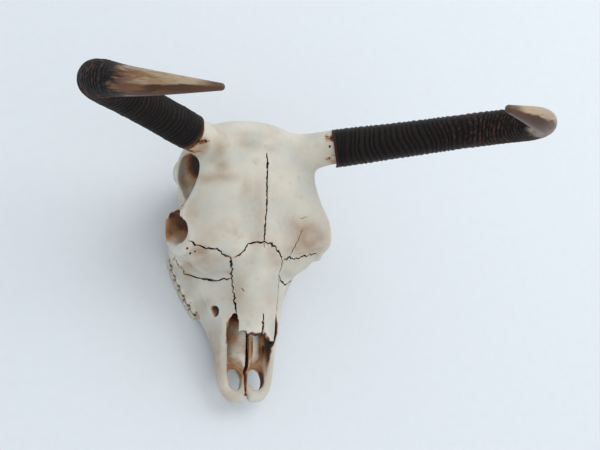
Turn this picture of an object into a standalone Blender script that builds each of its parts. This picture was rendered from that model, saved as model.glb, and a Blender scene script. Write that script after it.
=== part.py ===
"""A horned cow skull at life size, lying on its cheek teeth and its two jugular processes.

X runs across the skull, +Y towards the poll, +Z up, and the floor is z = 0.
Sizes are in centimetres, and CM turns them into metres.
The forehead plane has a frame of its own: its origin is the nasion, where the nose bones meet
the forehead, its y runs up the forehead, and its z stands out of it.
"""
import math

import bmesh
import bpy
import numpy as np
from mathutils import Matrix, Vector

CM = 0.01
SIDES = {"left": -1, "right": 1}

# The lie of the skull.
FOREHEAD_SLOPE = math.radians(19.0)   # the forehead plane falls towards the muzzle
NASION_HEIGHT = 16.8
LENGTH_MIDDLE = -1.62                 # y of the middle of the whole skull, which goes to y = 0
WIDTH_MIDDLE = 0.271                  # x of the middle between the outer sides of the horns

# How fine the solids are.
BLEND_VOXEL = 0.30                    # grid that fuses the forms
BLEND_ROUNDS = 9                      # smoothing passes, which set how wide the fillets are
CARVED_VOXEL = 0.26                   # grid that cleans the carved skull
CARVED_ROUNDS = 3
SKULL_TRIANGLES = 3660
SUTURE_GAP = 0.045                    # clear space between neighbouring bones
CUT_DEPTH = 5.0                       # half depth of the blocks that trim the skull

# The forehead: for each y the half width, the height on the midline and that of the edge.
FOREHEAD = (
    (-3.5, 7.6, 15.4, 10.2), (-0.8, 11.2, 16.5, 12.4), (1.6, 12.8, 17.3, 14.0),
    (3.8, 13.0, 18.1, 15.2), (6.2, 11.9, 19.0, 16.2), (9.0, 10.3, 20.0, 17.4),
    (11.6, 9.9, 20.9, 18.6), (14.6, 9.5, 21.8, 20.4), (17.0, 8.4, 22.3, 21.4),
)
FOREHEAD_DEPTH = 4.4
FOREHEAD_CROWN = 2.2                  # higher is flatter across the middle

# The snout as lines along its length: (y, x, z) from the muzzle backwards.
SNOUT = {
    "bridge": ((-13.0, 0, 9.5), (-10.0, 0, 12.7), (-4.0, 0, 14.9), (1.0, 0, 16.4), (4.6, 0, 15.5)),
    "shoulder": ((-13.0, 3.6, 8.0), (-10.0, 3.3, 10.9), (-4.0, 3.9, 12.8), (1.0, 6.6, 13.8),
                 (4.6, 7.2, 13.0)),
    "cheek": ((-13.0, 4.6, 6.0), (-10.0, 5.2, 7.3), (-4.0, 7.3, 8.2), (1.0, 10.6, 8.8),
              (4.6, 10.4, 8.8)),
    "gum": ((-13.0, 4.9, 3.6), (-10.0, 5.5, 2.6), (-4.0, 7.9, 1.9), (1.0, 9.5, 1.9),
            (4.6, 9.5, 3.8)),
    "palate edge": ((-13.0, 3.9, 2.7), (-10.0, 4.2, 2.0), (-4.0, 5.9, 1.6), (1.0, 7.4, 1.6),
                    (4.6, 7.4, 3.4)),
    "palate": ((-13.0, 0, 2.9), (-10.0, 0, 3.0), (-4.0, 0, 3.4), (1.0, 0, 3.6), (4.6, 0, 4.6)),
}
# The nose bones: y, half width, height of the ridge and of the outer edge.
NOSE = (
    (-15.2, 2.7, 11.7, 10.1), (-13.0, 3.05, 12.5, 10.6), (-10.0, 3.35, 13.55, 11.3),
    (-5.0, 3.9, 15.2, 12.8), (-1.5, 4.4, 16.35, 14.1), (0.6, 3.6, 16.6, 14.4),
)
NOSE_THICKNESS = 0.8
# The front of each upper jaw: x, y, z of its core, half width and half height.
JAW_BAR = (
    (5.0, -7.5, 6.2, 1.0, 3.5), (4.5, -10.5, 5.9, 0.80, 3.5), (4.25, -12.5, 5.4, 0.75, 3.2),
    (4.05, -14.5, 4.7, 0.80, 2.2), (3.95, -16.5, 4.2, 0.85, 1.6), (3.75, -18.5, 3.6, 0.90, 1.2),
    (3.05, -20.2, 3.3, 1.05, 1.0), (1.95, -21.05, 3.2, 1.15, 0.95), (0.35, -21.0, 3.2, 1.0, 0.85),
)
HARD_PALATE = ((0, -14.2, 3.1), (3.7, 6.3, 0.6))     # centre and half sizes
PALATE_JOINT = ((0, -8.0, 3.3), (3.0, 1.5, 0.5))
# The ridge along the middle of the nose floor: y, half width and height of its top, on a base at
# the height of the palate; a trough runs along its top.
RIDGE_BASE = 3.0
RIDGE_CROWN = 2.4                     # higher is flatter across the top
MID_RIDGE = ((-20.9, 0.50, 3.5), (-18.3, 0.58, 4.4), (-16.9, 0.62, 5.0), (-16.2, 1.8, 5.3),
             (-15.2, 3.3, 5.7), (-14.0, 3.6, 6.15), (-12.0, 3.7, 6.8), (-8.0, 3.4, 7.3))
RIDGE_ROOT = 0.3                      # how far the ridge reaches into the palate
TROUGH_WIDTH = 0.74
TROUGH_DEPTH = 1.5
TROUGH_FLOOR = 0.2                    # the least height of its floor above the base
TROUGH_TAPER = 0.7                    # width of the floor, as a part of that of the mouth

# Ellipsoids for one side or the middle: centre, radii.
MIDDLE_FORMS = {
    "braincase": ((0, 10.6, 13.2), (6.9, 7.0, 6.4)),
    "nape": ((0, 14.7, 14.4), (8.7, 2.6, 7.9)),
    "poll knob": ((-2.3, 16.6, 21.1), (6.4, 1.8, 1.35)),
    "nape knob": ((0, 16.8, 17.0), (1.5, 1.0, 1.8)),
    "right brow": ((12.4, 2.6, 13.8), (1.2, 2.8, 1.9)),
}
SIDE_FORMS = {
    "eye bulge": ((9.3, 2.9, 11.3), (3.5, 4.4, 4.2)),
    "cheek plate": ((10.4, 1.7, 8.2), (1.9, 3.0, 3.2)),
    "fossa floor": ((7.9, 10.4, 9.2), (2.6, 5.4, 1.7)),
    "ear root": ((8.1, 14.3, 9.8), (3.0, 2.6, 3.6)),
    "ear bulla": ((4.7, 12.6, 7.0), (1.5, 2.0, 2.0)),
    "condyle": ((2.5, 17.3, 7.6), (1.5, 1.7, 2.1)),
}
# Rods for one side: x, y, z and radius at each bend.
SIDE_RODS = {
    "cheek arch": ((11.9, 4.9, 11.6, 1.0), (10.4, 7.4, 11.6, 0.80), (9.7, 10.2, 11.0, 0.90),
                   (10.1, 13.2, 10.7, 1.30), (8.7, 15.0, 11.6, 1.6)),
    "temple crest": ((10.0, 14.0, 11.6, 1.4), (9.5, 15.7, 14.0, 1.3), (8.6, 16.0, 17.2, 1.3),
                     (8.2, 15.4, 20.4, 1.5)),
    "jugular process": ((4.9, 15.2, 8.6, 2.0), (5.4, 15.8, 5.4, 1.45), (5.4, 15.8, 2.6, 1.05),
                        (5.2, 15.5, -0.4, 0.85)),
    "face crest": ((9.6, -0.2, 8.2, 0.9), (8.05, -3.2, 7.8, 0.65), (6.95, -6.0, 7.2, 0.55),
                   (5.6, -8.8, 6.4, 0.35)),
    "wing of the throat": ((2.6, 3.8, 3.8, 0.65), (2.6, 6.0, 5.0, 0.7), (2.4, 8.6, 7.6, 0.9)),
}
MIDDLE_RODS = {"base of the skull": ((0, 4.0, 8.4, 2.3), (0, 10.0, 7.7, 2.1), (0, 16.6, 7.4, 1.9))}

# The eye sockets: rim centre, the way that they face, rim radius and rod radius.
EYE_CENTRE = (12.0, 2.8, 12.3)
EYE_FACING = (0.94, -0.17, 0.27)
EYE_RADIUS = 3.2
EYE_RIM = 0.70
# Hollows of one side: centre, radii.
SIDE_HOLLOWS = {
    "eye socket": ((12.3, 3.4, 12.6), (3.7, 2.7, 2.8)),
    "temple hollow": ((9.7, 11.2, 13.9), (2.5, 3.7, 3.5)),
    "palate window": ((1.80, -18.45, 3.2), (1.28, 1.90, 3.0)),
    "nerve hole": ((6.2, -8.6, 7.9), (1.6, 0.80, 1.15)),
}
MIDDLE_HOLLOWS = {
    "spine hole": ((0, 18.0, 9.9), (1.8, 4.0, 1.8)),
    "throat": ((0, 4.6, 6.2), (1.9, 3.2, 2.0)),
}
# The nose passage: y, half width, floor and roof.
NOSE_PASSAGE = (
    (-16.0, 3.1, 3.7, 10.6), (-13.5, 3.45, 3.8, 11.3), (-11.0, 3.65, 4.0, 12.2),
    (-7.0, 3.1, 4.3, 13.2), (-4.0, 2.4, 5.0, 13.6), (-2.4, 1.2, 7.0, 12.5),
)

# Cheek teeth: the outer line of the row from the back to the front, on the floor.
TOOTH_ROW = ((9.15, 2.6), (5.85, -7.3))
TEETH_PER_SIDE = 6
TOOTH_GAP = 0.12
TOOTH_WIDTH = 1.7
TOOTH_HEIGHT = 3.4

# Horns in the forehead frame: x, y, z and radius, from the skull to the tip.
HORN = {
    "left": ((12.6, 15.8, 1.15, 2.84), (22.7, 18.6, 7.2, 2.64), (31.3, 19.5, 16.9, 2.53),
             (30.2, 17.3, 29.2, 1.91), (20.8, 15.8, 37.3, 0.64)),
    "right": ((12.1, 15.15, 0.9, 3.04), (23.1, 16.95, 7.3, 2.72), (32.0, 18.15, 17.3, 2.53),
              (30.2, 17.0, 29.8, 1.91), (19.3, 16.8, 37.2, 0.64)),
}
HORN_STATIONS = 26
HORN_CORE = ((5.0, 13.6, -3.6, 3.1), (8.2, 14.6, -1.7, 3.0), (11.2, 15.3, 0.3, 2.8),
             (14.4, 16.0, 2.2, 2.6))
HORN_GAP = 0.05

# Sutures in the forehead frame: x, y at each bend.
SUTURES = {
    "nose arch left": ((0.2, 0), (-2, -0.5), (-3.2, -1.8), (-4.3, -2.7)),
    "nose arch right": ((0.2, 0), (2, -0.7), (3.2, -2.2)),
    "brow left": ((-4.9, -2.7), (-6.7, -1.5), (-8.7, -1.3), (-10.9, -0.7)),
    "brow right": ((3.7, -2.9), (5, -2.2), (7.1, -2.4), (10.5, -1.5)),
    "nose side left": ((-4.9, -2.7), (-4.2, -4.8), (-3.7, -8.6), (-3.3, -11.2)),
    "nose side right": ((3.7, -2.9), (3.5, -4.9), (3.6, -8.6), (3.5, -11.2)),
    "cheek left": ((-4.2, -5.8), (-6.4, -6.2), (-8.4, -5.5), (-10.2, -3.9), (-11.1, -2.9)),
    "cheek right": ((3.5, -5.6), (6.2, -6.6), (8.4, -5.5), (10.2, -3.9), (11.1, -2.9)),
}
# The broken tips of the nose bones: the bone in front of this line is missing.
NOSE_TIPS = ((-3.6, -13.4), (-2.6, -13.8), (-1.2, -14.6), (-0.1, -14.15), (0.9, -14.4), (1.9, -15.3),
             (2.9, -14.4), (3.3, -13.2), (3.6, -20.0), (-3.6, -20.0))
TIP_LEAN = 0.8                        # how far the broken edge runs forwards per depth
TIP_DEPTH = -2.9                      # z of the lower end of the break, in the forehead frame
# The gap beside the nose bones, at the top of the nose opening.
NOSE_NOTCH = ((3.25, -11.0), (3.85, -12.1), (4.1, -14.0), (4.0, -16.0), (3.0, -16.0), (3.0, -13.0))
NOTCH_DEPTH = -5.5
# The broken back edge of the left eye socket: the bone behind this line is missing.
EYE_BREAK = ((-12.1, 4.9), (-12.6, 4.2), (-13.2, 3.9), (-13.9, 2.4), (-17.0, 2.4), (-17.0, 8.0),
             (-12.4, 8.0))
EYE_BREAK_SPAN = (-8.5, 1.0)          # z of its lower and upper end
OVER_SKULL = 4.0                      # height above the bone at which its cutters end
NOSE_FRONT = ((3.9, -15.5), (-3.9, -15.5))   # corners in front of the nose bones
NOSE_DEPTH = 2.75                     # how far the nose bones reach down from the ridge plane
# The back of the space of one cheekbone: x, y and top, which stays below the brow.
CHEEK_BACK = ((11.4, -0.6, 4.0), (11.3, 0.2, -4.5), (10.6, 2.6, -4.5), (11.6, 4.6, -4.5),
              (15.0, 4.8, -4.5), (15.0, 0.2, -4.5), (15.0, -0.6, 4.0), (15.0, -2.6, 4.0))
CHEEK_FLOOR = ((4.0, -6.5), (15.0, -14.5))   # x and z in the forehead frame of its lower side
# Two corners below the tear bone, where the suture of the nose bones is, in the forehead frame.
CHEEK_INNER = ((3.0, -5.6), (3.0, -2.9))
# The back of the face in the forehead frame: the upper jaws are in front of this line.
FACE_BACK = ((16.0, -1.2), (11.0, -0.6), (8.6, -1.4), (6.2, -1.8), (4.4, -2.9))
FACE_FRONT = -26.0                    # y in front of all of the face
FACE_SPAN = (-24.0, 5.0)              # z below and above all of the face, in the forehead frame
MIDLINE_GAP = 0.22
# The spaces of three bones as two opposite corners each, in the skull's frame.
HALF_FACE = ((MIDLINE_GAP / 2, -26.0, -1.0), (16.0, 16.0, 26.0))
PREMAXILLAE = ((-16.0, -26.0, -1.0), (16.0, -14.6, 26.0))
OCCIPUT = ((-12.0, 13.2, -1.0), (12.0, 22.0, 20.2))

BONE = (0.80, 0.76, 0.67)
BONE_ROUGHNESS = 0.55
HORN_BROWN = (0.060, 0.035, 0.025)
HORN_ROUGHNESS = 0.42


def from_forehead(point):
    """A point of the forehead frame in the skull's own frame, both in centimetres."""
    x, y, z = point
    slope = FOREHEAD_SLOPE
    return (x, y * math.cos(slope) - z * math.sin(slope),
            y * math.sin(slope) + z * math.cos(slope) + NASION_HEIGHT)


def smooth_through(knots, count):
    """Points on a natural cubic curve through evenly timed knots, as an array."""
    knots = np.array(knots, dtype=float)
    last = len(knots) - 1
    system = np.zeros((last + 1, last + 1))
    right = np.zeros_like(knots)
    system[0, 0] = system[last, last] = 1.0
    for i in range(1, last):
        system[i, i - 1:i + 2] = (1.0, 4.0, 1.0)
        right[i] = 6.0 * (knots[i - 1] - 2.0 * knots[i] + knots[i + 1])
    bend = np.linalg.solve(system, right)
    times = np.linspace(0.0, last, count)
    cells = np.minimum(times.astype(int), last - 1)
    b = (times - cells)[:, None]
    a = 1.0 - b
    return (a * knots[cells] + b * knots[cells + 1]
            + ((a ** 3 - a) * bend[cells] + (b ** 3 - b) * bend[cells + 1]) / 6.0)


def read_line(line, y):
    """The values of a line of (y, value, ...) knots at y, with smooth slopes."""
    line = np.array(line, dtype=float)
    at = line[:, 0]
    slope = np.gradient(line[:, 1:], at, axis=0)
    i = int(np.clip(np.searchsorted(at, y) - 1, 0, len(at) - 2))
    step = at[i + 1] - at[i]
    t = (y - at[i]) / step
    return ((2 * t ** 3 - 3 * t ** 2 + 1) * line[i, 1:] + (t ** 3 - 2 * t ** 2 + t) * step * slope[i]
            + (3 * t ** 2 - 2 * t ** 3) * line[i + 1, 1:] + (t ** 3 - t ** 2) * step * slope[i + 1])


def start_scene():
    """Empty the scene and make the collections for the parts and for the cutters."""
    for thing in list(bpy.data.objects):
        bpy.data.objects.remove(thing, do_unlink=True)
    parts = bpy.data.collections.new("Cow skull")
    cutters = bpy.data.collections.new("Cutters")
    bpy.context.scene.collection.children.link(parts)
    bpy.context.scene.collection.children.link(cutters)
    return parts, cutters


def principled(name, color, roughness):
    """A plain Principled material."""
    material = bpy.data.materials.new(name)
    material.use_nodes = True
    shader = material.node_tree.nodes["Principled BSDF"]
    shader.inputs["Base Color"].default_value = (*color, 1.0)
    shader.inputs["Roughness"].default_value = roughness
    shader.inputs["Metallic"].default_value = 0.0
    return material


def add_object(name, mesh, collection):
    """A new object for a mesh, in a collection."""
    thing = bpy.data.objects.new(name, mesh)
    collection.objects.link(thing)
    return thing


def mesh_from_bmesh(name, bm):
    """A mesh from a bmesh, with its faces turned outwards."""
    bmesh.ops.recalc_face_normals(bm, faces=bm.faces)
    mesh = bpy.data.meshes.new(name)
    bm.to_mesh(mesh)
    bm.free()
    return mesh


def loft(name, rings, collection):
    """A closed solid over rings of equal length, given in centimetres."""
    bm = bmesh.new()
    rows = [[bm.verts.new(Vector(point) * CM) for point in ring] for ring in rings]
    for row, following in zip(rows, rows[1:]):
        for i in range(len(row)):
            j = (i + 1) % len(row)
            bm.faces.new((row[i], row[j], following[j], following[i]))
    bm.faces.new(rows[0][::-1])
    bm.faces.new(rows[-1])
    bmesh.ops.triangulate(bm, faces=bm.faces)
    return add_object(name, mesh_from_bmesh(name, bm), collection)


def ellipsoid(name, centre, radii, collection):
    """A stretched sphere."""
    bm = bmesh.new()
    place = Matrix.Translation(Vector(centre) * CM) @ Matrix.Diagonal((*(Vector(radii) * CM), 1.0))
    bmesh.ops.create_uvsphere(bm, u_segments=32, v_segments=20, radius=1.0, matrix=place)
    return add_object(name, mesh_from_bmesh(name, bm), collection)


def block(name, centre, half_sizes, collection, turn=None, bevel=0.0):
    """A box, turned about its own centre, with rounded edges if asked."""
    bm = bmesh.new()
    place = Matrix.Translation(Vector(centre) * CM) @ (turn or Matrix.Identity(4))
    place = place @ Matrix.Diagonal((*(Vector(half_sizes) * 2.0 * CM), 1.0))
    bmesh.ops.create_cube(bm, size=1.0, matrix=place)
    if bevel:
        bmesh.ops.bevel(bm, geom=bm.edges, offset=bevel * CM, segments=2, profile=0.5,
                        affect="EDGES")
    return add_object(name, mesh_from_bmesh(name, bm), collection)


def rod(name, bends, collection, stations=14, sides=4):
    """A round rod of changing thickness through (x, y, z, radius) bends, as a welded mesh."""
    path = smooth_through(bends, stations)
    curve = bpy.data.curves.new(name, "CURVE")
    curve.dimensions = "3D"
    curve.bevel_depth = CM
    curve.bevel_resolution = sides
    curve.use_fill_caps = True
    spline = curve.splines.new("POLY")
    spline.points.add(len(path) - 1)
    for point, (x, y, z, radius) in zip(spline.points, path):
        point.co = (x * CM, y * CM, z * CM, 1.0)
        point.radius = radius
    guide = add_object(name + " guide", curve, collection)
    bpy.context.view_layer.update()
    found = guide.evaluated_get(bpy.context.evaluated_depsgraph_get())
    mesh = bpy.data.meshes.new_from_object(found)
    bpy.data.objects.remove(guide, do_unlink=True)
    bm = bmesh.new()
    bm.from_mesh(mesh)
    bpy.data.meshes.remove(mesh)
    bmesh.ops.remove_doubles(bm, verts=bm.verts, dist=1e-5)
    return add_object(name, mesh_from_bmesh(name, bm), collection)


def settle(thing):
    """Apply the modifiers of an object to its mesh."""
    bpy.context.view_layer.update()
    found = thing.evaluated_get(bpy.context.evaluated_depsgraph_get())
    mesh = bpy.data.meshes.new_from_object(found)
    thing.modifiers.clear()
    thing.data = mesh
    return thing


def boolean(thing, other, operation, solver="EXACT"):
    """Cut, join or intersect an object with another one."""
    step = thing.modifiers.new(operation.title(), "BOOLEAN")
    step.operation = operation
    step.object = other
    step.solver = solver
    return settle(thing)


def fuse(name, pieces, voxel, rounds, collection):
    """Melt overlapping pieces into one solid with soft fillets."""
    bm = bmesh.new()
    for piece in pieces:
        bm.from_mesh(piece.data)
        bpy.data.objects.remove(piece, do_unlink=True)
    mesh = bpy.data.meshes.new(name)
    bm.to_mesh(mesh)
    bm.free()
    return soften(add_object(name, mesh, collection), voxel, rounds)


def soften(thing, voxel, rounds):
    """Rebuild a solid on an even grid and smooth it."""
    grid = thing.modifiers.new("Grid", "REMESH")
    grid.mode = "VOXEL"
    grid.voxel_size = voxel * CM
    smooth = thing.modifiers.new("Smooth", "SMOOTH")
    smooth.factor = 0.5
    smooth.iterations = rounds
    return settle(thing)


def mirrored(values, side):
    """Values that begin with x, moved to a side."""
    return (values[0] * side, *values[1:])


def forehead(collection):
    """The forehead plate, from the nose bones to the poll."""
    rings = []
    across = np.linspace(0.0, 2.0 * math.pi, 40, endpoint=False)
    for y in np.linspace(FOREHEAD[0][0], FOREHEAD[-1][0], 24):
        half_width, ridge, edge = read_line(FOREHEAD, y)
        ring = []
        for angle in across:
            x = half_width * math.cos(angle)
            if math.sin(angle) >= 0.0:
                z = edge + (ridge - edge) * (1.0 - abs(x / half_width) ** FOREHEAD_CROWN)
            else:
                z = edge - FOREHEAD_DEPTH * abs(math.sin(angle)) ** 0.8
            ring.append((x, y, z))
        rings.append(ring)
    return loft("forehead", rings, collection)


def snout(collection):
    """The body of the upper jaws, from the nose opening to behind the last teeth."""
    first, last = SNOUT["bridge"][0][0], SNOUT["bridge"][-1][0]
    rings = []
    for y in np.linspace(first, last, 22):
        right = [read_line(line, y) for line in SNOUT.values()]
        left = [(-x, z) for x, z in right[-2:0:-1]]
        corners = [*right, *left]
        ring = smooth_through([*corners[-3:], *corners, *corners[:4]], 10 * len(corners) + 61)
        turn = ring[30:30 + 10 * len(corners):3]
        rings.append([(x, y, z) for x, z in turn])
    return loft("snout", rings, collection)


def nose_bones(collection):
    """The vaulted plate of the nose bones."""
    rings = []
    for y in np.linspace(NOSE[0][0], NOSE[-1][0], 14):
        half_width, ridge, edge = read_line(NOSE, y)
        top = []
        for x in np.linspace(-half_width, half_width, 15):
            top.append((x, y, edge + (ridge - edge) * (1.0 - abs(x / half_width) ** 2.2)))
        under = [(x, y, z - NOSE_THICKNESS) for x, y, z in reversed(top)]
        rings.append(top + under)
    return loft("nose bones", rings, collection)


def nose_passage(collection):
    """The hollow of the nose, open in front and below the tips of the nose bones."""
    rings = []
    for y in np.linspace(NOSE_PASSAGE[0][0], NOSE_PASSAGE[-1][0], 14):
        half_width, low, high = read_line(NOSE_PASSAGE, y)
        ring = []
        for angle in np.linspace(0.0, 2.0 * math.pi, 32, endpoint=False):
            c, s = math.cos(angle), math.sin(angle)
            x = half_width * math.copysign(abs(c) ** 0.7, c)
            z = (low + high) / 2.0 + (high - low) / 2.0 * math.copysign(abs(s) ** 0.7, s)
            ring.append((x, y, z))
        rings.append(ring)
    return loft("nose passage", rings, collection)


def jaw_bar(side, collection):
    """The bar that carries one upper jaw forward round the nose opening."""
    path = smooth_through([mirrored(row, side) for row in JAW_BAR], 26)
    heading = np.gradient(path[:, :2], axis=0)
    heading /= np.linalg.norm(heading, axis=1)[:, None]
    rings = []
    for (x, y, z, half_width, half_height), (hx, hy) in zip(path, heading):
        ring = []
        for angle in np.linspace(0.0, 2.0 * math.pi, 20, endpoint=False):
            across = half_width * math.cos(angle)
            ring.append((x + across * hy, y - across * hx, z + half_height * math.sin(angle)))
        rings.append(ring)
    return loft("jaw bar", rings, collection)


def eye_rim(side, collection):
    """The thick rim round one eye socket."""
    centre = Vector(mirrored(EYE_CENTRE, side)) * CM
    facing = Vector(mirrored(EYE_FACING, side)).to_track_quat("Z", "Y").to_matrix().to_4x4()
    bpy.ops.mesh.primitive_torus_add(major_radius=EYE_RADIUS * CM, minor_radius=EYE_RIM * CM,
                                     major_segments=40, minor_segments=14)
    ring = bpy.context.object
    ring.data.transform(Matrix.Translation(centre) @ facing)
    for owner in list(ring.users_collection):
        owner.objects.unlink(ring)
    collection.objects.link(ring)
    return ring


def horn_path(label):
    """Centre line and radius of one horn in the skull's frame, at even stations."""
    placed = []
    for x, y, z, radius in smooth_through(HORN[label], HORN_STATIONS):
        placed.append((*from_forehead((x * SIDES[label], y, z)), radius))
    return placed


def horn_frame(label):
    """The place and heading of the joint between a horn and its core."""
    path = horn_path(label)
    start, after = Vector(path[0][:3]), Vector(path[1][:3])
    return start, (after - start).normalized()


def core_rod(label, collection):
    """The bony core that carries one horn."""
    bends = []
    for x, y, z, radius in HORN_CORE:
        bends.append((*from_forehead((x * SIDES[label], y, z)), radius))
    return rod("horn core", bends, collection)


def bone_forms(collection):
    """All the forms that melt into the skull."""
    forms = [forehead(collection), snout(collection), nose_bones(collection)]
    forms.append(block("hard palate", *HARD_PALATE, collection))
    forms.append(block("palate joint", *PALATE_JOINT, collection))
    for name, bends in MIDDLE_RODS.items():
        forms.append(rod(name, bends, collection))
    for name, (centre, radii) in MIDDLE_FORMS.items():
        forms.append(ellipsoid(name, centre, radii, collection))
    for label, side in SIDES.items():
        forms.append(jaw_bar(side, collection))
        forms.append(eye_rim(side, collection))
        forms.append(core_rod(label, collection))
        for name, (centre, radii) in SIDE_FORMS.items():
            forms.append(ellipsoid(name, mirrored(centre, side), radii, collection))
        for name, bends in SIDE_RODS.items():
            forms.append(rod(name, [mirrored(bend, side) for bend in bends], collection))
    return forms


def hollow_forms(collection):
    """All the forms that are carved out of the skull."""
    hollows = [nose_passage(collection)]
    for name, (centre, radii) in MIDDLE_HOLLOWS.items():
        hollows.append(ellipsoid(name, centre, radii, collection))
    for side in SIDES.values():
        for name, (centre, radii) in SIDE_HOLLOWS.items():
            hollows.append(ellipsoid(name, mirrored(centre, side), radii, collection))
    return hollows


def mid_ridge(parts, cutters):
    """The ridge along the middle of the nose floor, and the trough along its top as a cutter."""
    rings = []
    first, last = MID_RIDGE[0][0], MID_RIDGE[-1][0]
    for y in np.linspace(first, last, 16):
        half_width, top = read_line(MID_RIDGE, y)
        over = []
        for x in np.linspace(-1.0, 1.0, 13):
            height = (top - RIDGE_BASE) * (1.0 - abs(x) ** RIDGE_CROWN)
            over.append((x * half_width, y, RIDGE_BASE + height))
        under = [(x, y, RIDGE_BASE - RIDGE_ROOT) for x, _, _ in reversed(over)]
        rings.append(over + under)
    slots = []
    half = TROUGH_WIDTH / 2.0
    floor_half = half * TROUGH_TAPER
    for y in np.linspace(first - 0.1, last + 0.4, 12):
        top = read_line(MID_RIDGE, y)[1]
        low, high = max(top - TROUGH_DEPTH, RIDGE_BASE + TROUGH_FLOOR), top + OVER_SKULL
        slots.append([(-half, y, high), (half, y, high), (floor_half, y, low), (-floor_half, y, low)])
    return loft("mid ridge", rings, parts), loft("trough", slots, cutters)


def broken_edges(collection):
    """Cutters for the broken tips of the nose bones and of the left eye socket."""
    found = [prism("nose tips", NOSE_TIPS, TIP_DEPTH, OVER_SKULL, collection, TIP_LEAN)]
    for side in SIDES.values():
        notch = [mirrored(corner, side) for corner in NOSE_NOTCH]
        found.append(prism("nose notch", notch, NOTCH_DEPTH, OVER_SKULL, collection))
    found.append(prism("eye break", EYE_BREAK, *EYE_BREAK_SPAN, collection))
    return found


def carved_skull(parts, cutters):
    """The whole skull in one solid, without its teeth and horns."""
    skull = fuse("skull", bone_forms(parts), BLEND_VOXEL, BLEND_ROUNDS, parts)
    hollows = fuse("hollows", hollow_forms(cutters), BLEND_VOXEL, 2, cutters)
    ridge, trough = mid_ridge(parts, cutters)
    boolean(skull, hollows, "DIFFERENCE")
    boolean(skull, ridge, "UNION")
    edges = broken_edges(cutters)
    for cutter in (trough, *edges):
        boolean(skull, cutter, "DIFFERENCE", "MANIFOLD")
    for done in (hollows, ridge, trough, *edges):
        bpy.data.objects.remove(done, do_unlink=True)
    soften(skull, CARVED_VOXEL, CARVED_ROUNDS)
    triangles = 2 * len(skull.data.polygons)
    thin = skull.modifiers.new("Fewer faces", "DECIMATE")
    thin.ratio = SKULL_TRIANGLES / triangles
    settle(skull)
    trim_to_floor(skull, cutters)
    for label in SIDES:
        trim_core(skull, label, cutters)
    return skull


def trim_to_floor(thing, cutters):
    """Cut off all that hangs below the floor, which leaves small flats to stand on."""
    floor = block("floor", (0, 0, -CUT_DEPTH), (30, 40, CUT_DEPTH), cutters)
    boolean(thing, floor, "DIFFERENCE")
    bpy.data.objects.remove(floor, do_unlink=True)


def trim_core(skull, label, cutters):
    """Cut one horn core off flat, where its horn begins."""
    start, heading = horn_frame(label)
    turn = heading.to_track_quat("Z", "Y").to_matrix().to_4x4()
    middle = start + heading * (CUT_DEPTH - HORN_GAP)
    cutter = block("core end", middle, (6, 6, CUT_DEPTH), cutters, turn=turn)
    boolean(skull, cutter, "DIFFERENCE")
    bpy.data.objects.remove(cutter, do_unlink=True)


def teeth(side, collection):
    """The worn cheek teeth of one side, as separate blocks down to the floor."""
    back, front = Vector((*TOOTH_ROW[0], 0)), Vector((*TOOTH_ROW[1], 0))
    back.x *= side
    front.x *= side
    step = (front - back) / TEETH_PER_SIDE
    turn = Matrix.Rotation(math.atan2(step.y, step.x), 4, "Z")
    blocks = []
    for i in range(TEETH_PER_SIDE):
        middle = back + step * (i + 0.5)
        half = (step.length / 2 - TOOTH_GAP / 2, TOOTH_WIDTH / 2, TOOTH_HEIGHT / 2)
        centre = middle + Vector((0, 0, TOOTH_HEIGHT / 2))
        blocks.append(block("tooth", centre, half, collection, turn=turn, bevel=0.25))
    return blocks


def prism(name, outline, low, high, collection, lean=0.0):
    """A solid between two heights over an outline in the forehead frame.

    low is a height, or a function of x that gives one. A corner may bring its own top as a third
    number. lean is how far the walls run forwards per depth.
    """
    bm = bmesh.new()
    under = []
    over = []
    for x, y, *own_top in outline:
        floor = low(x) if callable(low) else low
        top = own_top[0] if own_top else high
        under.append(bm.verts.new(Vector(from_forehead((x, y + lean * floor, floor))) * CM))
        over.append(bm.verts.new(Vector(from_forehead((x, y + lean * top, top))) * CM))
    bm.faces.new(under[::-1])
    bm.faces.new(over)
    for i in range(len(outline)):
        j = (i + 1) % len(outline)
        bm.faces.new((under[i], under[j], over[j], over[i]))
    bmesh.ops.triangulate(bm, faces=bm.faces)
    return add_object(name, mesh_from_bmesh(name, bm), collection)


def grown(cell, amount, collection):
    """A copy of a cutter that is larger all round."""
    wider = add_object(cell.name + " wider", cell.data.copy(), collection)
    step = wider.modifiers.new("Grow", "DISPLACE")
    step.strength = amount * CM
    step.mid_level = 0.0
    return settle(wider)


def largest_body(thing):
    """Drop the crumbs that a cut can leave, and keep the largest body."""
    bm = bmesh.new()
    bm.from_mesh(thing.data)
    left = set(bm.verts)
    bodies = []
    while left:
        seed = left.pop()
        body = {seed}
        edge_of = [seed]
        while edge_of:
            for edge in edge_of.pop().link_edges:
                for vert in edge.verts:
                    if vert in left:
                        left.discard(vert)
                        body.add(vert)
                        edge_of.append(vert)
        bodies.append(body)
    keep = max(bodies, key=len)
    crumbs = [vert for body in bodies if body is not keep for vert in body]
    bmesh.ops.delete(bm, geom=crumbs, context="VERTS")
    bm.to_mesh(thing.data)
    bm.free()
    return thing


def split_off(rest, name, cell, parts, cutters):
    """Take the part of a solid inside a cell as a new part, and leave a thin gap to the rest."""
    piece = add_object(name, rest.data.copy(), parts)
    boolean(piece, cell, "INTERSECT", "MANIFOLD")
    wider = grown(cell, SUTURE_GAP, cutters)
    boolean(rest, wider, "DIFFERENCE", "MANIFOLD")
    bpy.data.objects.remove(wider, do_unlink=True)
    bpy.data.objects.remove(cell, do_unlink=True)
    return largest_body(piece)


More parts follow.
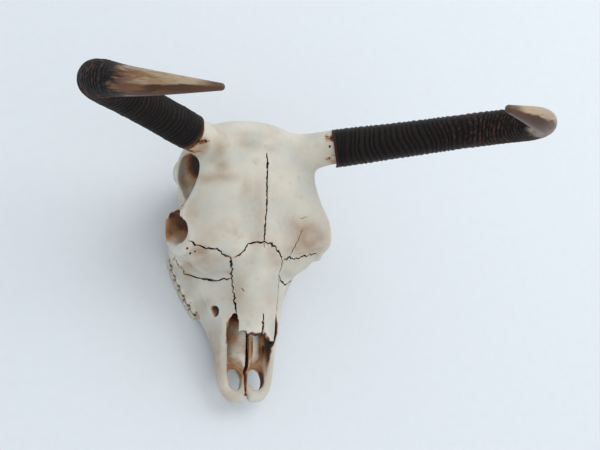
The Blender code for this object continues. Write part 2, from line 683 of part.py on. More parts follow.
def nose_cell(collection):
    """The space of the nose bones."""
    outline = [*SUTURES["nose arch right"], *SUTURES["nose side right"], *NOSE_FRONT,
               *SUTURES["nose side left"][::-1], *SUTURES["nose arch left"][:0:-1]]
    return prism("nose cell", outline, -NOSE_DEPTH, OVER_SKULL, collection)


def cheek_cell(label, collection):
    """The space of one tear bone and cheekbone."""
    (x_in, z_in), (x_out, z_out) = CHEEK_FLOOR
    side = SIDES[label]
    behind = [mirrored(corner, side) for corner in CHEEK_BACK]
    outline = [*SUTURES["brow " + label], *behind, *SUTURES["cheek " + label][::-1],
               *[mirrored(corner, side) for corner in CHEEK_INNER]]

    def low(x):
        return z_in + (z_out - z_in) * (abs(x) - x_in) / (x_out - x_in)

    return prism("cheek cell", outline, low, OVER_SKULL, collection)


def box_cell(name, corners, collection, side=1):
    """A box between two opposite corners, as the space of a bone on one side."""
    one, other = (Vector(mirrored(corner, side)) for corner in corners)
    half_sizes = [abs(value) / 2 for value in other - one]
    return block(name, (one + other) / 2, half_sizes, collection)


def face_cell(collection):
    """The space of the two upper jaws below the forehead."""
    outline = [(FACE_BACK[0][0], FACE_FRONT), *FACE_BACK]
    outline += [(-x, y) for x, y in outline[::-1]]
    return prism("face cell", outline, *FACE_SPAN, collection)


def horn(label, material, parts):
    """One horn, a closed tapering rod that starts flat against its core."""
    path = horn_path(label)
    heading = horn_frame(label)[1]
    path[0] = (*(Vector(path[0][:3]) + heading * HORN_GAP), path[0][3])
    bends = np.array(path)
    solid = rod("horn_" + label, bends, parts, stations=HORN_STATIONS, sides=4)
    finish(solid, material)
    return solid


def finish(thing, material):
    """Give a part its material and its shading."""
    thing.data.materials.clear()
    thing.data.materials.append(material)
    thing.data.shade_smooth()
    thing.data.set_sharp_from_angle(angle=math.radians(40.0))


def main():
    parts, cutters = start_scene()
    bone = principled("bone", BONE, BONE_ROUGHNESS)
    horn_brown = principled("horn", HORN_BROWN, HORN_ROUGHNESS)
    skull = carved_skull(parts, cutters)
    bones = [split_off(skull, "nasal_bones", nose_cell(cutters), parts, cutters)]
    for label in SIDES:
        bones.append(split_off(skull, "cheekbone_" + label, cheek_cell(label, cutters), parts,
                               cutters))
    face = split_off(skull, "face", face_cell(cutters), parts, cutters)
    back = box_cell("back cell", OCCIPUT, cutters)
    bones.append(split_off(skull, "occiput", back, parts, cutters))
    skull.name = "cranium"
    bones.append(largest_body(skull))
    for label, side in SIDES.items():
        half = box_cell("half cell", HALF_FACE, cutters, side)
        jaw = add_object("maxilla_" + label, face.data.copy(), parts)
        boolean(jaw, half, "INTERSECT", "MANIFOLD")
        bpy.data.objects.remove(half, do_unlink=True)
        front = box_cell("front cell", PREMAXILLAE, cutters)
        bones.append(split_off(jaw, "premaxilla_" + label, front, parts, cutters))
        largest_body(jaw)
        for tooth in teeth(side, cutters):
            boolean(jaw, tooth, "UNION")
            bpy.data.objects.remove(tooth, do_unlink=True)
        bones.append(jaw)
    bpy.data.objects.remove(face, do_unlink=True)
    for thing in bones:
        finish(thing, bone)
    horns = [horn(label, horn_brown, parts) for label in SIDES]
    for thing in bones + horns:
        thing.data.transform(Matrix.Translation((-WIDTH_MIDDLE * CM, -LENGTH_MIDDLE * CM, 0.0)))


main()
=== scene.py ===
import math

import bmesh
import bpy
import numpy as np
from mathutils import Matrix, Vector
from mathutils.bvhtree import BVHTree
from mathutils.kdtree import KDTree


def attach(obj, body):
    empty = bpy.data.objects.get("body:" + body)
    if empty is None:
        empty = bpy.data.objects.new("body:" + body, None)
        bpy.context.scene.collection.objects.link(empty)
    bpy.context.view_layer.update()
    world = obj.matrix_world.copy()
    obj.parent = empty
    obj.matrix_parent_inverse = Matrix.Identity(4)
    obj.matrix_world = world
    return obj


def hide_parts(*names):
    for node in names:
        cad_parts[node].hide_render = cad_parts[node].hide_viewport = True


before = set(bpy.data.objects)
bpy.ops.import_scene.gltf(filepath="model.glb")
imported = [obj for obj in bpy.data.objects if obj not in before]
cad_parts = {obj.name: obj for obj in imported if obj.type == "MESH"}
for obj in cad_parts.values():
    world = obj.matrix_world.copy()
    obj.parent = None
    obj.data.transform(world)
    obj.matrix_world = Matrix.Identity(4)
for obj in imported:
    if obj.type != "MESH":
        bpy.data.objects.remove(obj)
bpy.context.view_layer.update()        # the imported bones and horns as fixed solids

bl_info = {
    "name": "Cow skull",
    "version": (1, 0, 0),
    "blender": (4, 5, 0),
    "location": "View3D > Sidebar > Cow skull",
    "description": "Builds a life-size horned cow skull with weathered bone and ringed horns",
    "category": "Add Mesh",
}

# Shapes are given in centimetres in the skull's own frame: x across the skull, y towards the poll,
# z up, the floor at z = 0. Left and right are as seen from in front of the face, so x is negative
# on the left. The forehead frame has its origin at the nasion, where the nose bones meet the
# forehead; its y runs up the forehead and its z stands out of it.
CM = 0.01
SIDES = {"left": -1, "right": 1}

FOREHEAD_SLOPE = math.radians(19.0)   # the forehead falls towards the muzzle
NASION_HEIGHT = 16.8
LENGTH_MIDDLE = -1.62                 # y of the middle of the whole skull, which goes to y = 0
WIDTH_MIDDLE = 0.271                  # x of the middle between the outer sides of the horns

# How the forms are melted together: the grid that they are rebuilt on, and rounds of smoothing.
BLEND_VOXEL = 0.30
BLEND_ROUNDS = 9
HOLLOW_ROUNDS = 2
SUTURE_GAP = 0.04                     # clear space between neighbouring bones, inside the sutures
ABOVE_BONE = 4.0                      # a height in the forehead frame that is clear of the face
ABOVE_SKULL = 9.0                     # one that is clear of the whole skull but its horns

# The forehead: for each y the half width, the height on the midline and that of the edge.
FOREHEAD = (
    (-3.5, 7.6, 15.4, 10.2), (-0.8, 11.2, 16.5, 12.4), (1.6, 12.8, 17.3, 14.0),
    (3.8, 13.0, 18.1, 15.2), (6.2, 11.9, 19.0, 16.2), (9.0, 10.3, 20.0, 17.4),
    (11.6, 9.9, 20.9, 18.6), (14.6, 9.5, 21.8, 20.4), (17.0, 8.4, 22.3, 21.4),
)
FOREHEAD_DEPTH = 4.4
FOREHEAD_CROWN = 2.2                  # higher is flatter across the middle
FOREHEAD_BELLY = 0.8                  # lower is fuller on the underside

# The snout as lines along its length: (y, x, z) from the muzzle backwards.
SNOUT = {
    "bridge": ((-13.0, 0, 9.5), (-10.0, 0, 12.7), (-4.0, 0, 14.9), (1.0, 0, 16.4), (4.6, 0, 15.5)),
    "shoulder": ((-13.0, 3.6, 8.0), (-10.0, 3.3, 10.9), (-4.0, 3.9, 12.8), (1.0, 6.6, 13.8),
                 (4.6, 7.2, 13.0)),
    "cheek": ((-13.0, 4.6, 6.0), (-10.0, 5.2, 7.3), (-4.0, 7.3, 8.2), (1.0, 10.6, 8.8),
              (4.6, 10.4, 8.8)),
    "gum": ((-13.0, 4.9, 3.6), (-10.0, 5.5, 2.6), (-4.0, 8.25, 1.9), (1.0, 9.8, 1.9),
            (4.6, 9.5, 3.8)),
    "palate edge": ((-13.0, 3.9, 2.7), (-10.0, 4.2, 2.0), (-4.0, 5.9, 1.6), (1.0, 7.4, 1.6),
                    (4.6, 7.4, 3.4)),
    "palate": ((-13.0, 0, 2.9), (-10.0, 0, 3.0), (-4.0, 0, 3.4), (1.0, 0, 3.6), (4.6, 0, 4.6)),
}
SNOUT_LEAD = 3                        # corners that the closed curve runs in before its turn
SNOUT_FINE = 10                       # points worked out between two corners
SNOUT_STEP = 3                        # of which every third is used
# The nose bones: y, half width, height of the ridge and of the outer edge.
NOSE = (
    (-15.2, 2.7, 11.7, 10.1), (-13.0, 3.05, 12.5, 10.6), (-10.0, 3.35, 13.55, 11.3),
    (-5.0, 3.9, 15.2, 12.8), (-1.5, 4.4, 16.35, 14.1), (0.6, 3.6, 16.6, 14.4),
)
NOSE_THICKNESS = 0.8
NOSE_CROWN = 2.2                      # higher is flatter across the middle
# The front of each upper jaw: x, y, z of its core, half width and half height.
JAW_BAR = (
    (5.0, -7.5, 6.2, 1.0, 3.5), (4.5, -10.5, 5.9, 0.80, 3.5), (4.25, -12.5, 5.4, 0.75, 3.2),
    (4.05, -14.5, 4.7, 0.80, 2.2), (3.95, -16.5, 4.2, 0.85, 1.6), (3.75, -18.5, 3.6, 0.90, 1.2),
    (3.05, -20.2, 3.3, 1.05, 1.0), (1.95, -21.05, 3.2, 1.15, 0.95), (0.35, -21.0, 3.2, 1.0, 0.85),
)
# Plates inside the snout: centre and half sizes.
PLATES = {
    "hard palate": ((0, -14.2, 3.1), (3.7, 6.3, 0.6)),
    "palate joint": ((0, -8.0, 3.3), (3.0, 1.5, 0.5)),
}
# The ridge along the middle of the nose floor: y, half width and height of its top, on a base at
# the height of the palate; a trough runs along its top.
RIDGE_BASE = 3.0
MID_RIDGE = ((-20.9, 0.50, 3.5), (-18.3, 0.58, 4.4), (-16.9, 0.62, 5.0), (-16.2, 1.8, 5.3),
             (-15.2, 3.3, 5.7), (-14.0, 3.6, 6.15), (-12.0, 3.7, 6.8), (-8.0, 3.4, 7.3))
RIDGE_CROWN = 2.4                     # higher is flatter across the middle
RIDGE_SUNK = 0.3                      # how far the ridge reaches below its base
TROUGH_WIDTH = 0.74
TROUGH_DEPTH = 1.5
TROUGH_FLOOR = 0.2                    # bone left under the trough
TROUGH_START = 0.36                   # share of the width at the front end
TROUGH_WIDENING = 0.18                # share that it gains with each centimetre from there
TROUGH_TAPER = 0.7                    # width of the trough's floor against its mouth

# Ellipsoids for one side or the middle: centre, radii.
MIDDLE_FORMS = {
    "braincase": ((0, 10.6, 13.2), (6.9, 7.0, 6.4)),
    "nape": ((0, 14.7, 14.4), (8.7, 2.6, 7.9)),
    "poll knob": ((-1.9, 16.6, 21.08), (6.8, 1.8, 1.35)),
    "nape knob": ((0, 16.8, 17.0), (1.5, 1.0, 1.8)),
    "right brow": ((12.4, 2.6, 13.8), (1.2, 2.8, 1.9)),
}
SIDE_FORMS = {
    "eye bulge": ((9.3, 2.9, 11.3), (3.5, 4.4, 4.2)),
    "cheek plate": ((10.4, 1.7, 8.2), (1.9, 3.0, 3.2)),
    "fossa floor": ((7.9, 10.4, 9.2), (2.6, 5.4, 1.7)),
    "ear root": ((8.1, 14.3, 9.8), (3.0, 2.6, 3.6)),
    "ear bulla": ((4.7, 12.6, 7.0), (1.5, 2.0, 2.0)),
    "condyle": ((2.5, 17.3, 7.6), (1.5, 1.7, 2.1)),
}
# Rods for one side: x, y, z and radius at each bend.
SIDE_RODS = {
    "cheek arch": ((11.9, 4.9, 11.6, 1.0), (10.4, 7.4, 11.6, 0.80), (9.7, 10.2, 11.0, 0.90),
                   (10.1, 13.2, 10.7, 1.30), (8.7, 15.0, 11.6, 1.6)),
    "temple crest": ((10.0, 14.0, 11.6, 1.4), (9.5, 15.7, 14.0, 1.3), (8.6, 16.0, 17.2, 1.3),
                     (8.2, 15.4, 20.4, 1.5)),
    "jugular process": ((4.9, 15.2, 8.6, 2.0), (5.4, 15.8, 5.4, 1.45), (5.4, 15.8, 2.6, 1.05),
                        (5.2, 15.5, -0.4, 0.85)),
    "face crest": ((9.4, -0.2, 8.1, 0.9), (7.85, -3.2, 7.7, 0.65), (6.75, -6.0, 7.1, 0.55),
                   (5.4, -8.8, 6.3, 0.35)),
    "wing of the throat": ((2.6, 3.8, 3.8, 0.65), (2.6, 6.0, 5.0, 0.7), (2.4, 8.6, 7.6, 0.9)),
}
MIDDLE_RODS = {"base of the skull": ((0, 4.0, 8.4, 2.3), (0, 10.0, 7.7, 2.1), (0, 16.6, 7.4, 1.9))}

# The eye sockets: rim centre, the way that they face, rim radius and rod radius.
EYE_CENTRE = (12.0, 2.8, 12.3)
EYE_FACING = (0.94, -0.17, 0.27)
EYE_RADIUS = 3.2
EYE_RIM = 0.70
# Hollows of one side: centre, radii.
SIDE_HOLLOWS = {
    "eye socket": ((12.3, 3.4, 12.6), (3.7, 2.7, 2.8)),
    "temple hollow": ((9.7, 11.45, 13.9), (2.5, 3.85, 3.5)),
    "palate window": ((1.80, -18.45, 3.2), (1.28, 1.90, 3.0)),
    "nerve hole": ((6.2, -8.6, 7.9), (1.7, 0.95, 1.25)),
}
MIDDLE_HOLLOWS = {
    "spine hole": ((0, 18.0, 9.9), (1.8, 4.0, 1.8)),
    "throat": ((0, 4.6, 6.2), (1.9, 3.2, 2.0)),
}
# The nose passage: y, half width, floor and roof.
NOSE_PASSAGE = (
    (-16.0, 3.1, 3.7, 10.6), (-13.5, 3.45, 3.8, 11.3), (-11.0, 3.65, 4.0, 12.2),
    (-7.0, 3.1, 4.3, 13.2), (-4.0, 2.4, 5.0, 13.6), (-2.4, 1.2, 7.0, 12.5),
)
PASSAGE_SQUARENESS = 0.7              # lower is squarer

# Cheek teeth: both ends of the middle line of the row, from the back, and how far it bows outwards.
TOOTH_ROW = ((9.6, 2.6), (5.95, -7.3))
TOOTH_BOW = 0.5
TEETH_PER_SIDE = 6
TOOTH_GAP = 0.12
TOOTH_WIDTH = 1.7
TOOTH_HEIGHT = 3.2
TOOTH_SQUARENESS = 0.62               # lower is squarer
TOOTH_FOLD = 0.16                     # depth of the fold between the two lobes, in half widths
TOOTH_CORNER = 0.07                   # how much narrower the ends are, in half widths
TOOTH_LEAN = 0.05                     # how far it leans to the side per height
TOOTH_SIZES = (0.96, 1.04)            # range of the widths against the mean
# From the chewing face up: height over the floor and share of the full size.
TOOTH_PROFILE = ((0.10, 0.80), (0.04, 0.88), (0.03, 0.95), (0.12, 1.0), (0.6, 1.0), (1.2, 0.97),
                 (1.8, 0.94), (TOOTH_HEIGHT, 0.86))
# The swelling of the gum over each root: how far outside the row, its height and its radii.
ROOT_SWELLING = (0.45, 2.6, (0.75, 0.72, 1.1))

# Horns in the forehead frame: x, y, z and radius, from the skull to the tip.
HORN = {
    "left": ((12.6, 15.8, 1.15, 2.84), (22.7, 18.5, 7.2, 2.64), (31.0, 19.2, 16.9, 2.53),
             (30.0, 17.05, 29.2, 1.91), (21.2, 15.85, 37.3, 0.53)),
    "right": ((11.9, 15.15, 0.9, 3.04), (23.2, 16.95, 7.3, 2.72), (32.5, 18.15, 17.3, 2.53),
              (30.75, 17.0, 29.8, 1.91), (19.7, 16.8, 37.2, 0.64)),
}
HORN_SLANT = {"left": 0.5, "right": 0.0}   # how far the front of the lip lies off the skull
HORN_FULLNESS = {"left": 0.02, "right": 0.13}   # how much fuller the horn is before its tip
HORN_SIDES = 80                       # points round each ring of the mesh
HORN_ROWS = (560, 100)                # rings of the mesh before and after HORN_FINE_TO
HORN_FINE_TO = 0.70                   # share of its length up to which its mesh is fine
HORN_UNDER_RINGS = 0.06               # how far the radius is cut before the rings go on
HORN_FULL_FROM = 0.76                 # share of its length where the fuller part begins
HORN_RING_FADE = 5.0                  # length over which the rings fade out
HORN_LIP_FADE = 5.0                   # length over which the slant of the lip fades out
HORN_LOW_RINGS = 0.35                 # share of the rings' height at the lip
HORN_LOW_LENGTH = 1.5                 # length over which they rise from there
HORN_EDGE = ((0.06, 3, 1.0), (0.05, 5, 0.0))   # waves of the lip's edge: height, number, start
# The growth rings: the range of their steps against the mean step, the range of their heights,
# how far they sway against the mean step, and how much the sway turns with each centimetre.
RING_STEPS = (0.6, 1.4)
RING_HEIGHTS = (0.45, 1.0)
RING_SWAY = 0.55
RING_DRIFT = (0.05, 0.25)
MAIN_RINGS = 0.75                     # shares of the main and the fine rings in the relief
FINE_RINGS = 0.35
FINE_PITCH = 0.36                     # step of the fine rings against that of the main rings
# The lip round the core, from inside: how much wider than the horn's start, how far back.
HORN_LIP = ((-0.5, -0.9), (-0.30, -0.1), (-0.14, 0.28), (-0.04, 0.34), (0.02, 0.26))
HORN_LIP_ALONG = -0.2                 # place along the horn that the lip's colours are read at
HORN_BLUNT = (0.35, 0.7, 1.0, 1.25, 1.45)   # angles of the rings that round off the tip
# The bony core of each horn in the forehead frame: x, y, z and radius.
HORN_CORE = ((5.0, 13.6, -3.6, 3.1), (8.2, 14.6, -1.7, 3.0), (11.2, 15.3, 0.3, 2.8),
             (14.4, 16.0, 2.2, 2.6))
CORE_CUTTER = 5.0                     # half the depth of the box that cuts a core off

# Seeds of the random draws.
SEEDS = {"crack line": 20, "suture width": 50, "crack width": 70, "teeth": 5, "horn left": 31,
         "horn right": 47}

# Sutures in the forehead frame: x, y at each main bend, the mean width of the crack and how far it
# strays to the sides.
SUTURES = {
    "forehead": (((0.3, 13.7), (0.5, 11.1), (0.4, 8.7), (0.5, 6.1), (0.4, 3.0), (0.2, 0.0)), 0.26, 0.06),
    "nose arch left": (((0.2, 0.0), (-0.9, -0.2), (-2.0, -0.5), (-2.6, -0.9), (-3.2, -1.8),
                        (-3.6, -2.3), (-4.3, -2.7)), 0.26, 0.22),
    "nose arch right": (((0.2, 0.0), (1.2, -0.3), (2.0, -0.7), (2.7, -1.5), (3.2, -2.2),
                         (3.7, -2.9)), 0.30, 0.24),
    "brow left": (((-4.9, -2.75), (-6.2, -2.2), (-6.75, -1.65), (-7.3, -1.5), (-8.2, -1.35), (-9.1, -1.2),
                   (-9.9, -0.95), (-10.6, -0.6), (-11.3, -0.35)), 0.26, 0.20),
    "brow right": (((3.7, -2.9), (5.0, -2.2), (5.8, -2.6), (7.1, -2.4), (8.3, -2.0),
                    (10.5, -1.5)), 0.28, 0.24),
    "nose side left": (((-4.9, -2.7), (-4.6, -3.6), (-4.2, -4.8), (-4.1, -5.9), (-3.8, -7.3),
                        (-3.7, -8.6), (-3.5, -9.8), (-3.3, -11.2)), 0.38, 0.11),
    "nose side right": (((3.7, -2.9), (3.7, -3.9), (3.5, -4.9), (3.5, -5.9), (3.6, -7.3),
                         (3.6, -8.6), (3.5, -9.8), (3.5, -11.2)), 0.23, 0.12),
    "cheek left": (((-4.2, -5.8), (-5.3, -6.1), (-6.4, -6.2), (-7.4, -6.05), (-8.1, -5.85), (-8.75, -5.5),
                    (-9.5, -4.85), (-10.3, -4.3), (-11.1, -3.75), (-11.7, -3.1), (-12.1, -2.4)), 0.27, 0.20),
    "cheek right": (((3.5, -5.6), (4.7, -6.1), (6.2, -6.6), (7.6, -6.0), (8.4, -5.5),
                     (9.2, -4.8), (10.2, -3.9), (11.1, -2.9)), 0.25, 0.24),
}
# How the cutter of a suture is shaped: how far it stands over the bone, its mouth and foot against
# its mean width, and the ranges of its slow and quick changes of width.
GROOVE_OVER = 0.12
GROOVE_MOUTH = 1.1
GROOVE_FOOT = 0.5
GROOVE_SLOW = (0.6, 1.35)
GROOVE_QUICK = (0.55, 1.4)
GROOVE_SLOW_STEP = 5                  # points between two draws of the slow change
GROOVE_END = 0.35                     # share of the width at its ends, and gained with each point
CRACK_DEPTH = 0.6                     # depth of a crack against that of a suture
# Cracks that stay inside one bone: x, y at each bend and the mean width.
CRACKS = {
    "nose tip": (((0.25, -11.2), (0.3, -12.2), (0.2, -13.3), (0.3, -15.5)), 0.36),
    "brow crease": (((7.1, 2.3), (6.5, 0.8), (5.7, -0.8), (5.0, -2.2)), 0.12),
    "brow nick": (((6.5, 3.8), (7.2, 4.0), (8.0, 4.2)), 0.10),
    "nose nick": (((-2.95, -7.3), (-2.75, -7.6), (-2.5, -7.9)), 0.18),
    "spur": (((0.2, 0.0), (0.25, -1.1)), 0.12),
}
# The broken tips of the nose bones: the bone inside this outline is missing. Each cut has a lowest
# and a highest point, and may lean forwards per depth.
NOSE_TIPS = ((-3.7, -11.6), (-3.2, -12.2), (-3.0, -12.75), (-2.7, -12.8), (-2.35, -13.15), (-2.05, -13.2),
             (-1.85, -13.9), (-1.5, -13.75), (-1.25, -13.9), (-0.8, -14.25), (-0.3, -14.2),
             (0.05, -14.15), (0.16, -12.8), (0.34, -12.8), (0.5, -14.1), (0.85, -14.1), (1.2, -14.6),
             (1.6, -14.7), (2.0, -15.1), (2.4, -15.0), (2.8, -14.6), (3.1, -13.4), (3.3, -12.8),
             (3.6, -20.0), (-3.6, -20.0))
NOSE_TIPS_CUT = (-2.9, ABOVE_BONE, 0.8)
# The gap beside the nose bones, at the top of the nose opening.
NOSE_NOTCH = ((3.25, -11.0), (3.6, -11.5), (3.85, -12.1), (4.0, -12.8), (4.1, -14.0), (4.0, -16.0),
              (3.0, -16.0), (3.0, -13.0), (3.2, -12.0))
NOSE_NOTCH_CUT = (-5.5, ABOVE_BONE)
# The broken back edge of the left eye socket: the bone inside this outline is missing.
EYE_BREAK = ((-12.0, 5.0), (-12.1, 4.2), (-12.35, 4.6), (-12.5, 3.9), (-12.75, 4.4), (-12.9, 3.75),
             (-13.15, 4.2), (-13.2, 3.3), (-13.5, 3.5), (-13.5, 2.6), (-13.8, 2.8), (-13.8, 1.8),
             (-17.0, 1.8), (-17.0, 8.0), (-12.4, 8.0))
EYE_BREAK_CUT = (-8.5, 1.0)
# Places where the bone flows together more softly: centre, radii and strength of the smoothing.
MELTS = (((8.6, 13.6, 20.6), (5.0, 4.5, 3.6), 1.0), ((3.0, 15.6, 22.4), (9.0, 2.6, 2.2), 1.0),
         ((12.9, 2.4, 9.2), (2.6, 3.6, 2.4), 1.0), ((12.4, 0.6, 14.6), (1.6, 2.2, 1.6), 1.0),
         ((10.8, 2.4, 16.0), (1.1, 4.4, 1.6), 1.0), ((10.9, 10.6, 12.4), (1.6, 4.4, 1.8), 0.45),
         ((7.6, -4.4, 8.0), (2.0, 5.4, 2.0), 0.70))
MELT_ROUNDS = 120
MELT_STEP = 0.7                       # how far each round moves a point to its neighbours' mean
PIT_STRETCH = (1.0, 1.3, 1.8)
# Small holes: x, y in the forehead frame and radius.
PITS = ((-10.8, 14.4, 0.14), (-11.3, -1.5, 0.13), (-10.6, -2.2, 0.16), (-10.0, -1.9, 0.12),
        (9.9, 15.1, 0.16), (10.2, 13.4, 0.10))

# How the skull is parted into its bones.
NOSE_DEPTH = 2.75                     # how far the nose bones reach down from the forehead plane
NOSE_FRONT = ((3.9, -15.5), (-3.9, -15.5))   # the front corners of their space
# The back of the space of one cheekbone: x, y and top, which stays below the brow.
CHEEK_BACK = ((11.4, -0.6, 4.0), (11.3, 0.2, -4.5), (10.6, 2.6, -4.5), (11.6, 4.6, -4.5),
              (15.0, 4.8, -4.5), (15.0, 0.2, -4.5), (15.0, -0.6, 4.0), (15.0, -2.6, 4.0))
CHEEK_INSIDE = ((3.0, -5.6), (3.0, -2.9))    # its corners below the nose bones
CHEEK_FLOOR = ((4.0, -6.5), (15.0, -14.5))   # x and z in the forehead frame of its lower side
# The right half of the outline of the face below the forehead, and its lowest and highest point.
FACE_HALF = ((16.0, -26.0), (16.0, -1.2), (11.0, -0.6), (8.6, -1.4), (6.2, -1.8), (4.4, -2.9))
FACE_HEIGHTS = (-24.0, 5.0)
PREMAXILLA_BACK = -14.6               # y of the suture between the two jaw bones
MIDLINE_GAP = 0.14                    # clear space between the left and the right jaw
# Corners of the boxes round the back of the skull, whose front and top are sutures, round both
# jaws, and below the floor.
OCCIPUT_SPACE = ((-12, 13.2, -1), (12, 22, 20.2))
JAW_SPACE = ((-16, -26, -1), (16, 16, 26))
UNDER_FLOOR = ((-30, -40, -10), (30, 40, 0))

SHARP_ANGLE = math.radians(50.0)      # edges that bend more are drawn sharp
CRACK_TOUCH = 0.00008                 # metres within which a face lies on a suture's cutter

# Openness is worked out on a coarse copy of the skull, and read from the nearest of its points.
PROXY_FACES = 16000
PROXY_NEAR = 7
# Stains show where the openness falls below a limit, and on broken edges where the surface faces
# along the forehead beyond one. Each comes in softly.
HIDDEN_BELOW = 0.94
HIDDEN_SOFT = 0.14
BROKEN_ABOVE = 0.45
BROKEN_SOFT = 0.35

# A spot ends at SPOT_EDGE times its radii and is full from SPOT_SOFT of them inwards of that.
SPOT_EDGE = 1.25
SPOT_SOFT = 0.6
# Where brown has soaked in, and a few spots of painted shade in hollows: centre, radii and
# strength. A name with left or right counts on that side only, and each other one on both.
STAINS = {
    "eye socket": ((11.2, 4.7, 12.4), (3.4, 2.7, 3.3), 0.66),
    # painted shade: darkens the deep inner end of each eye socket, over its brown
    "eye socket deep shade": ((9.6, 3.6, 12.8), (1.9, 1.7, 1.7), 0.78),
    "eye socket end": ((12.6, 5.6, 12.6), (1.5, 0.6, 2.0), 0.95),
    # brown stain, and painted shade on the hollow's inner wall towards the poll
    "temple hollow": ((6.9, 14.0, 13.9), (2.8, 3.5, 3.7), 0.95),
    "nose side wall right": ((4.0, -13.5, 6.9), (0.95, 7.0, 3.6), 1.0),
    "nose side wall left": ((4.4, -12.4, 7.6), (0.42, 3.2, 2.6), 0.8),
    "nose roof": ((0.0, -10.5, 9.6), (3.4, 5.0, 2.0), 1.0),
    "nose end": ((0.0, -5.6, 8.0), (4.6, 5.6, 5.4), 0.95),
    "nose opening left": ((3.0, -10.3, 9.6), (1.3, 1.2, 2.2), 0.95),
    "nose opening right": ((3.2, -11.0, 8.6), (1.4, 1.5, 4.2), 0.95),
    # painted shade: a thin brown band on the right side of the ridge, where a rail would cast shade
    "ridge shade right": ((0.84, -14.2, 5.2), (0.16, 3.6, 1.8), 0.80),
    "trough": ((0.0, -14.5, 4.6), (0.36, 8.0, 1.6), 1.0),
    "trough front": ((0.0, -21.8, 3.0), (0.34, 2.6, 1.4), 0.85),
    "nose floor right": ((1.9, -14.6, 4.4), (1.7, 4.2, 1.3), 0.28),
    "nose floor left": ((1.4, -13.8, 5.0), (2.2, 5.0, 2.4), 0.27),
    "palate window": ((2.2, -17.6, 3.6), (1.9, 1.7, 0.9), 0.62),
    "window side": ((2.9, -18.6, 3.4), (0.6, 2.2, 0.9), 0.85),
    "nerve hole": ((5.8, -8.5, 7.8), (1.4, 1.0, 0.85), 1.0),
    "spine hole": ((0.0, 17.0, 9.9), (2.0, 2.0, 2.0), 0.9),
    "throat": ((0.0, 6.0, 6.6), (2.4, 3.6, 2.6), 0.7),
}
# The same for broken edges that face forwards or backwards.
EDGE_STAINS = {
    "nose tips": ((0.3, -13.4, 10.9), (3.8, 2.0, 1.8), 0.95),
    "eye socket end": ((12.9, 5.4, 13.0), (1.5, 0.9, 2.4), 1.0),
}
# The same for bare outsides.
BARE_STAINS = {
    "eye socket foot left": ((13.2, 4.4, 9.9), (1.8, 2.4, 1.3), 0.50),
    "ridge top right": ((0.50, -14.0, 5.6), (0.34, 4.4, 2.2), 0.36),
    "crack mouth right": ((0.25, -12.8, 12.5), (0.15, 0.9, 0.9), 1.0),
    "last tooth left": ((10.7, 2.2, 2.6), (0.9, 0.9, 1.0), 0.30),
    "first tooth left": ((6.5, -7.6, 2.4), (0.7, 0.8, 0.9), 0.28),
    "brow blotch right": ((8.7, 1.9, 15.9), (2.6, 2.2, 2.6), 0.14),
}
# Spots on the gum: how far outside the row of teeth, then height, radii and strength.
GUM_OUT = 0.3
GUM_AT_GAP = (2.1, (0.9, 0.16, 0.75), 0.9)
GUM_AT_ROOT = (1.85, (0.9, 0.8, 0.14), 0.6)
LIP_MARKS = 2.6                       # how far down its core a horn's edge has left marks
CORE_REACH = 5.0                      # how far from the start of the horn its core is
# Where the edge of a horn has left streaks on its core.
STREAKS = {
    "top right": ((10.2, 15.0, 25.3), (2.4, 1.0, 1.8), 1.0),
    "foot right": ((10.4, 11.2, 23.4), (2.6, 1.3, 2.0), 1.0),
    "foot left": ((11.3, 12.0, 23.4), (2.6, 1.4, 2.0), 1.0),
}
# Soft warm patches on the outside of the bone in the forehead frame: (x, y), radii and strength.
PATCHES = (
    ((-2.0, 16.2), (2.8, 0.7), 0.35), ((-10.9, 13.4), (1.1, 1.0), 0.9),
    ((-4.6, -16.8), (1.2, 3.4), 0.65), ((-10.2, 3.4), (1.6, 3.0), 0.55),
    ((-8.0, 13.4), (1.4, 1.4), 0.7), ((-6.6, 11.2), (1.0, 1.3), 0.6),
    ((-9.0, 9.2), (2.6, 0.8), 0.6), ((-1.0, 3.2), (1.1, 4.6), 0.65), ((-2.8, 7.0), (1.0, 2.2), 0.4),
    ((8.4, 0.9), (3.0, 2.1), 1.0), ((6.0, -1.0), (2.0, 0.9), 0.6), ((-9.3, -1.9), (1.4, 0.9), 0.8),
    ((-8.6, -4.6), (0.9, 1.8), 0.6), ((-6.6, -10.4), (0.6, 1.4), 0.7),
    ((1.6, -2.2), (1.2, 1.6), 0.5), ((1.4, -8.0), (1.4, 2.0), 0.45),
    ((-3.4, -7.5), (0.8, 2.6), 0.45), ((-4.2, -20.6), (1.2, 3.4), 0.9),
    ((-2.4, -23.9), (2.4, 1.6), 1.0), ((3.4, -20.6), (1.2, 1.8), 0.6),
    ((9.6, 14.0), (1.6, 1.6), 0.2), ((-11.8, 12.6), (1.0, 1.4), 0.6),
    ((-9.2, 0.8), (3.0, 2.2), 0.35), ((-7.6, -3.8), (2.6, 1.7), 0.75),
    ((0.0, -22.6), (4.2, 1.6), 0.75), ((-8.4, -7.0), (0.5, 3.0), 0.3),
    ((-2.6, 15.0), (1.6, 1.0), 0.6), ((-7.0, 9.6), (2.2, 0.8), 0.6),
)

# The floor's and the lamps' sizes in metres: the half width of the floor, the places of the lamps
# and the point that they face; the colours of lamps and room.
FLOOR_REACH = 4.0
LAMPS = {"key": (1.75, 1.30, 2.75), "front": (-0.5, -2.1, 3.0)}
LAMP_AIM = (0, 0, 0.1)
LAMP_COLOR = (1.0, 0.985, 0.96)
ROOM_COLOR = (0.93, 0.96, 1.0)
TOOTH_BLACK = (0.02, 0.014, 0.01)     # the deepest stain between the teeth


def from_forehead(point):
    """A point of the forehead frame in the skull's own frame, both in centimetres."""
    x, y, z = point
    slope = FOREHEAD_SLOPE
    return (x, y * math.cos(slope) - z * math.sin(slope),
            y * math.sin(slope) + z * math.cos(slope) + NASION_HEIGHT)


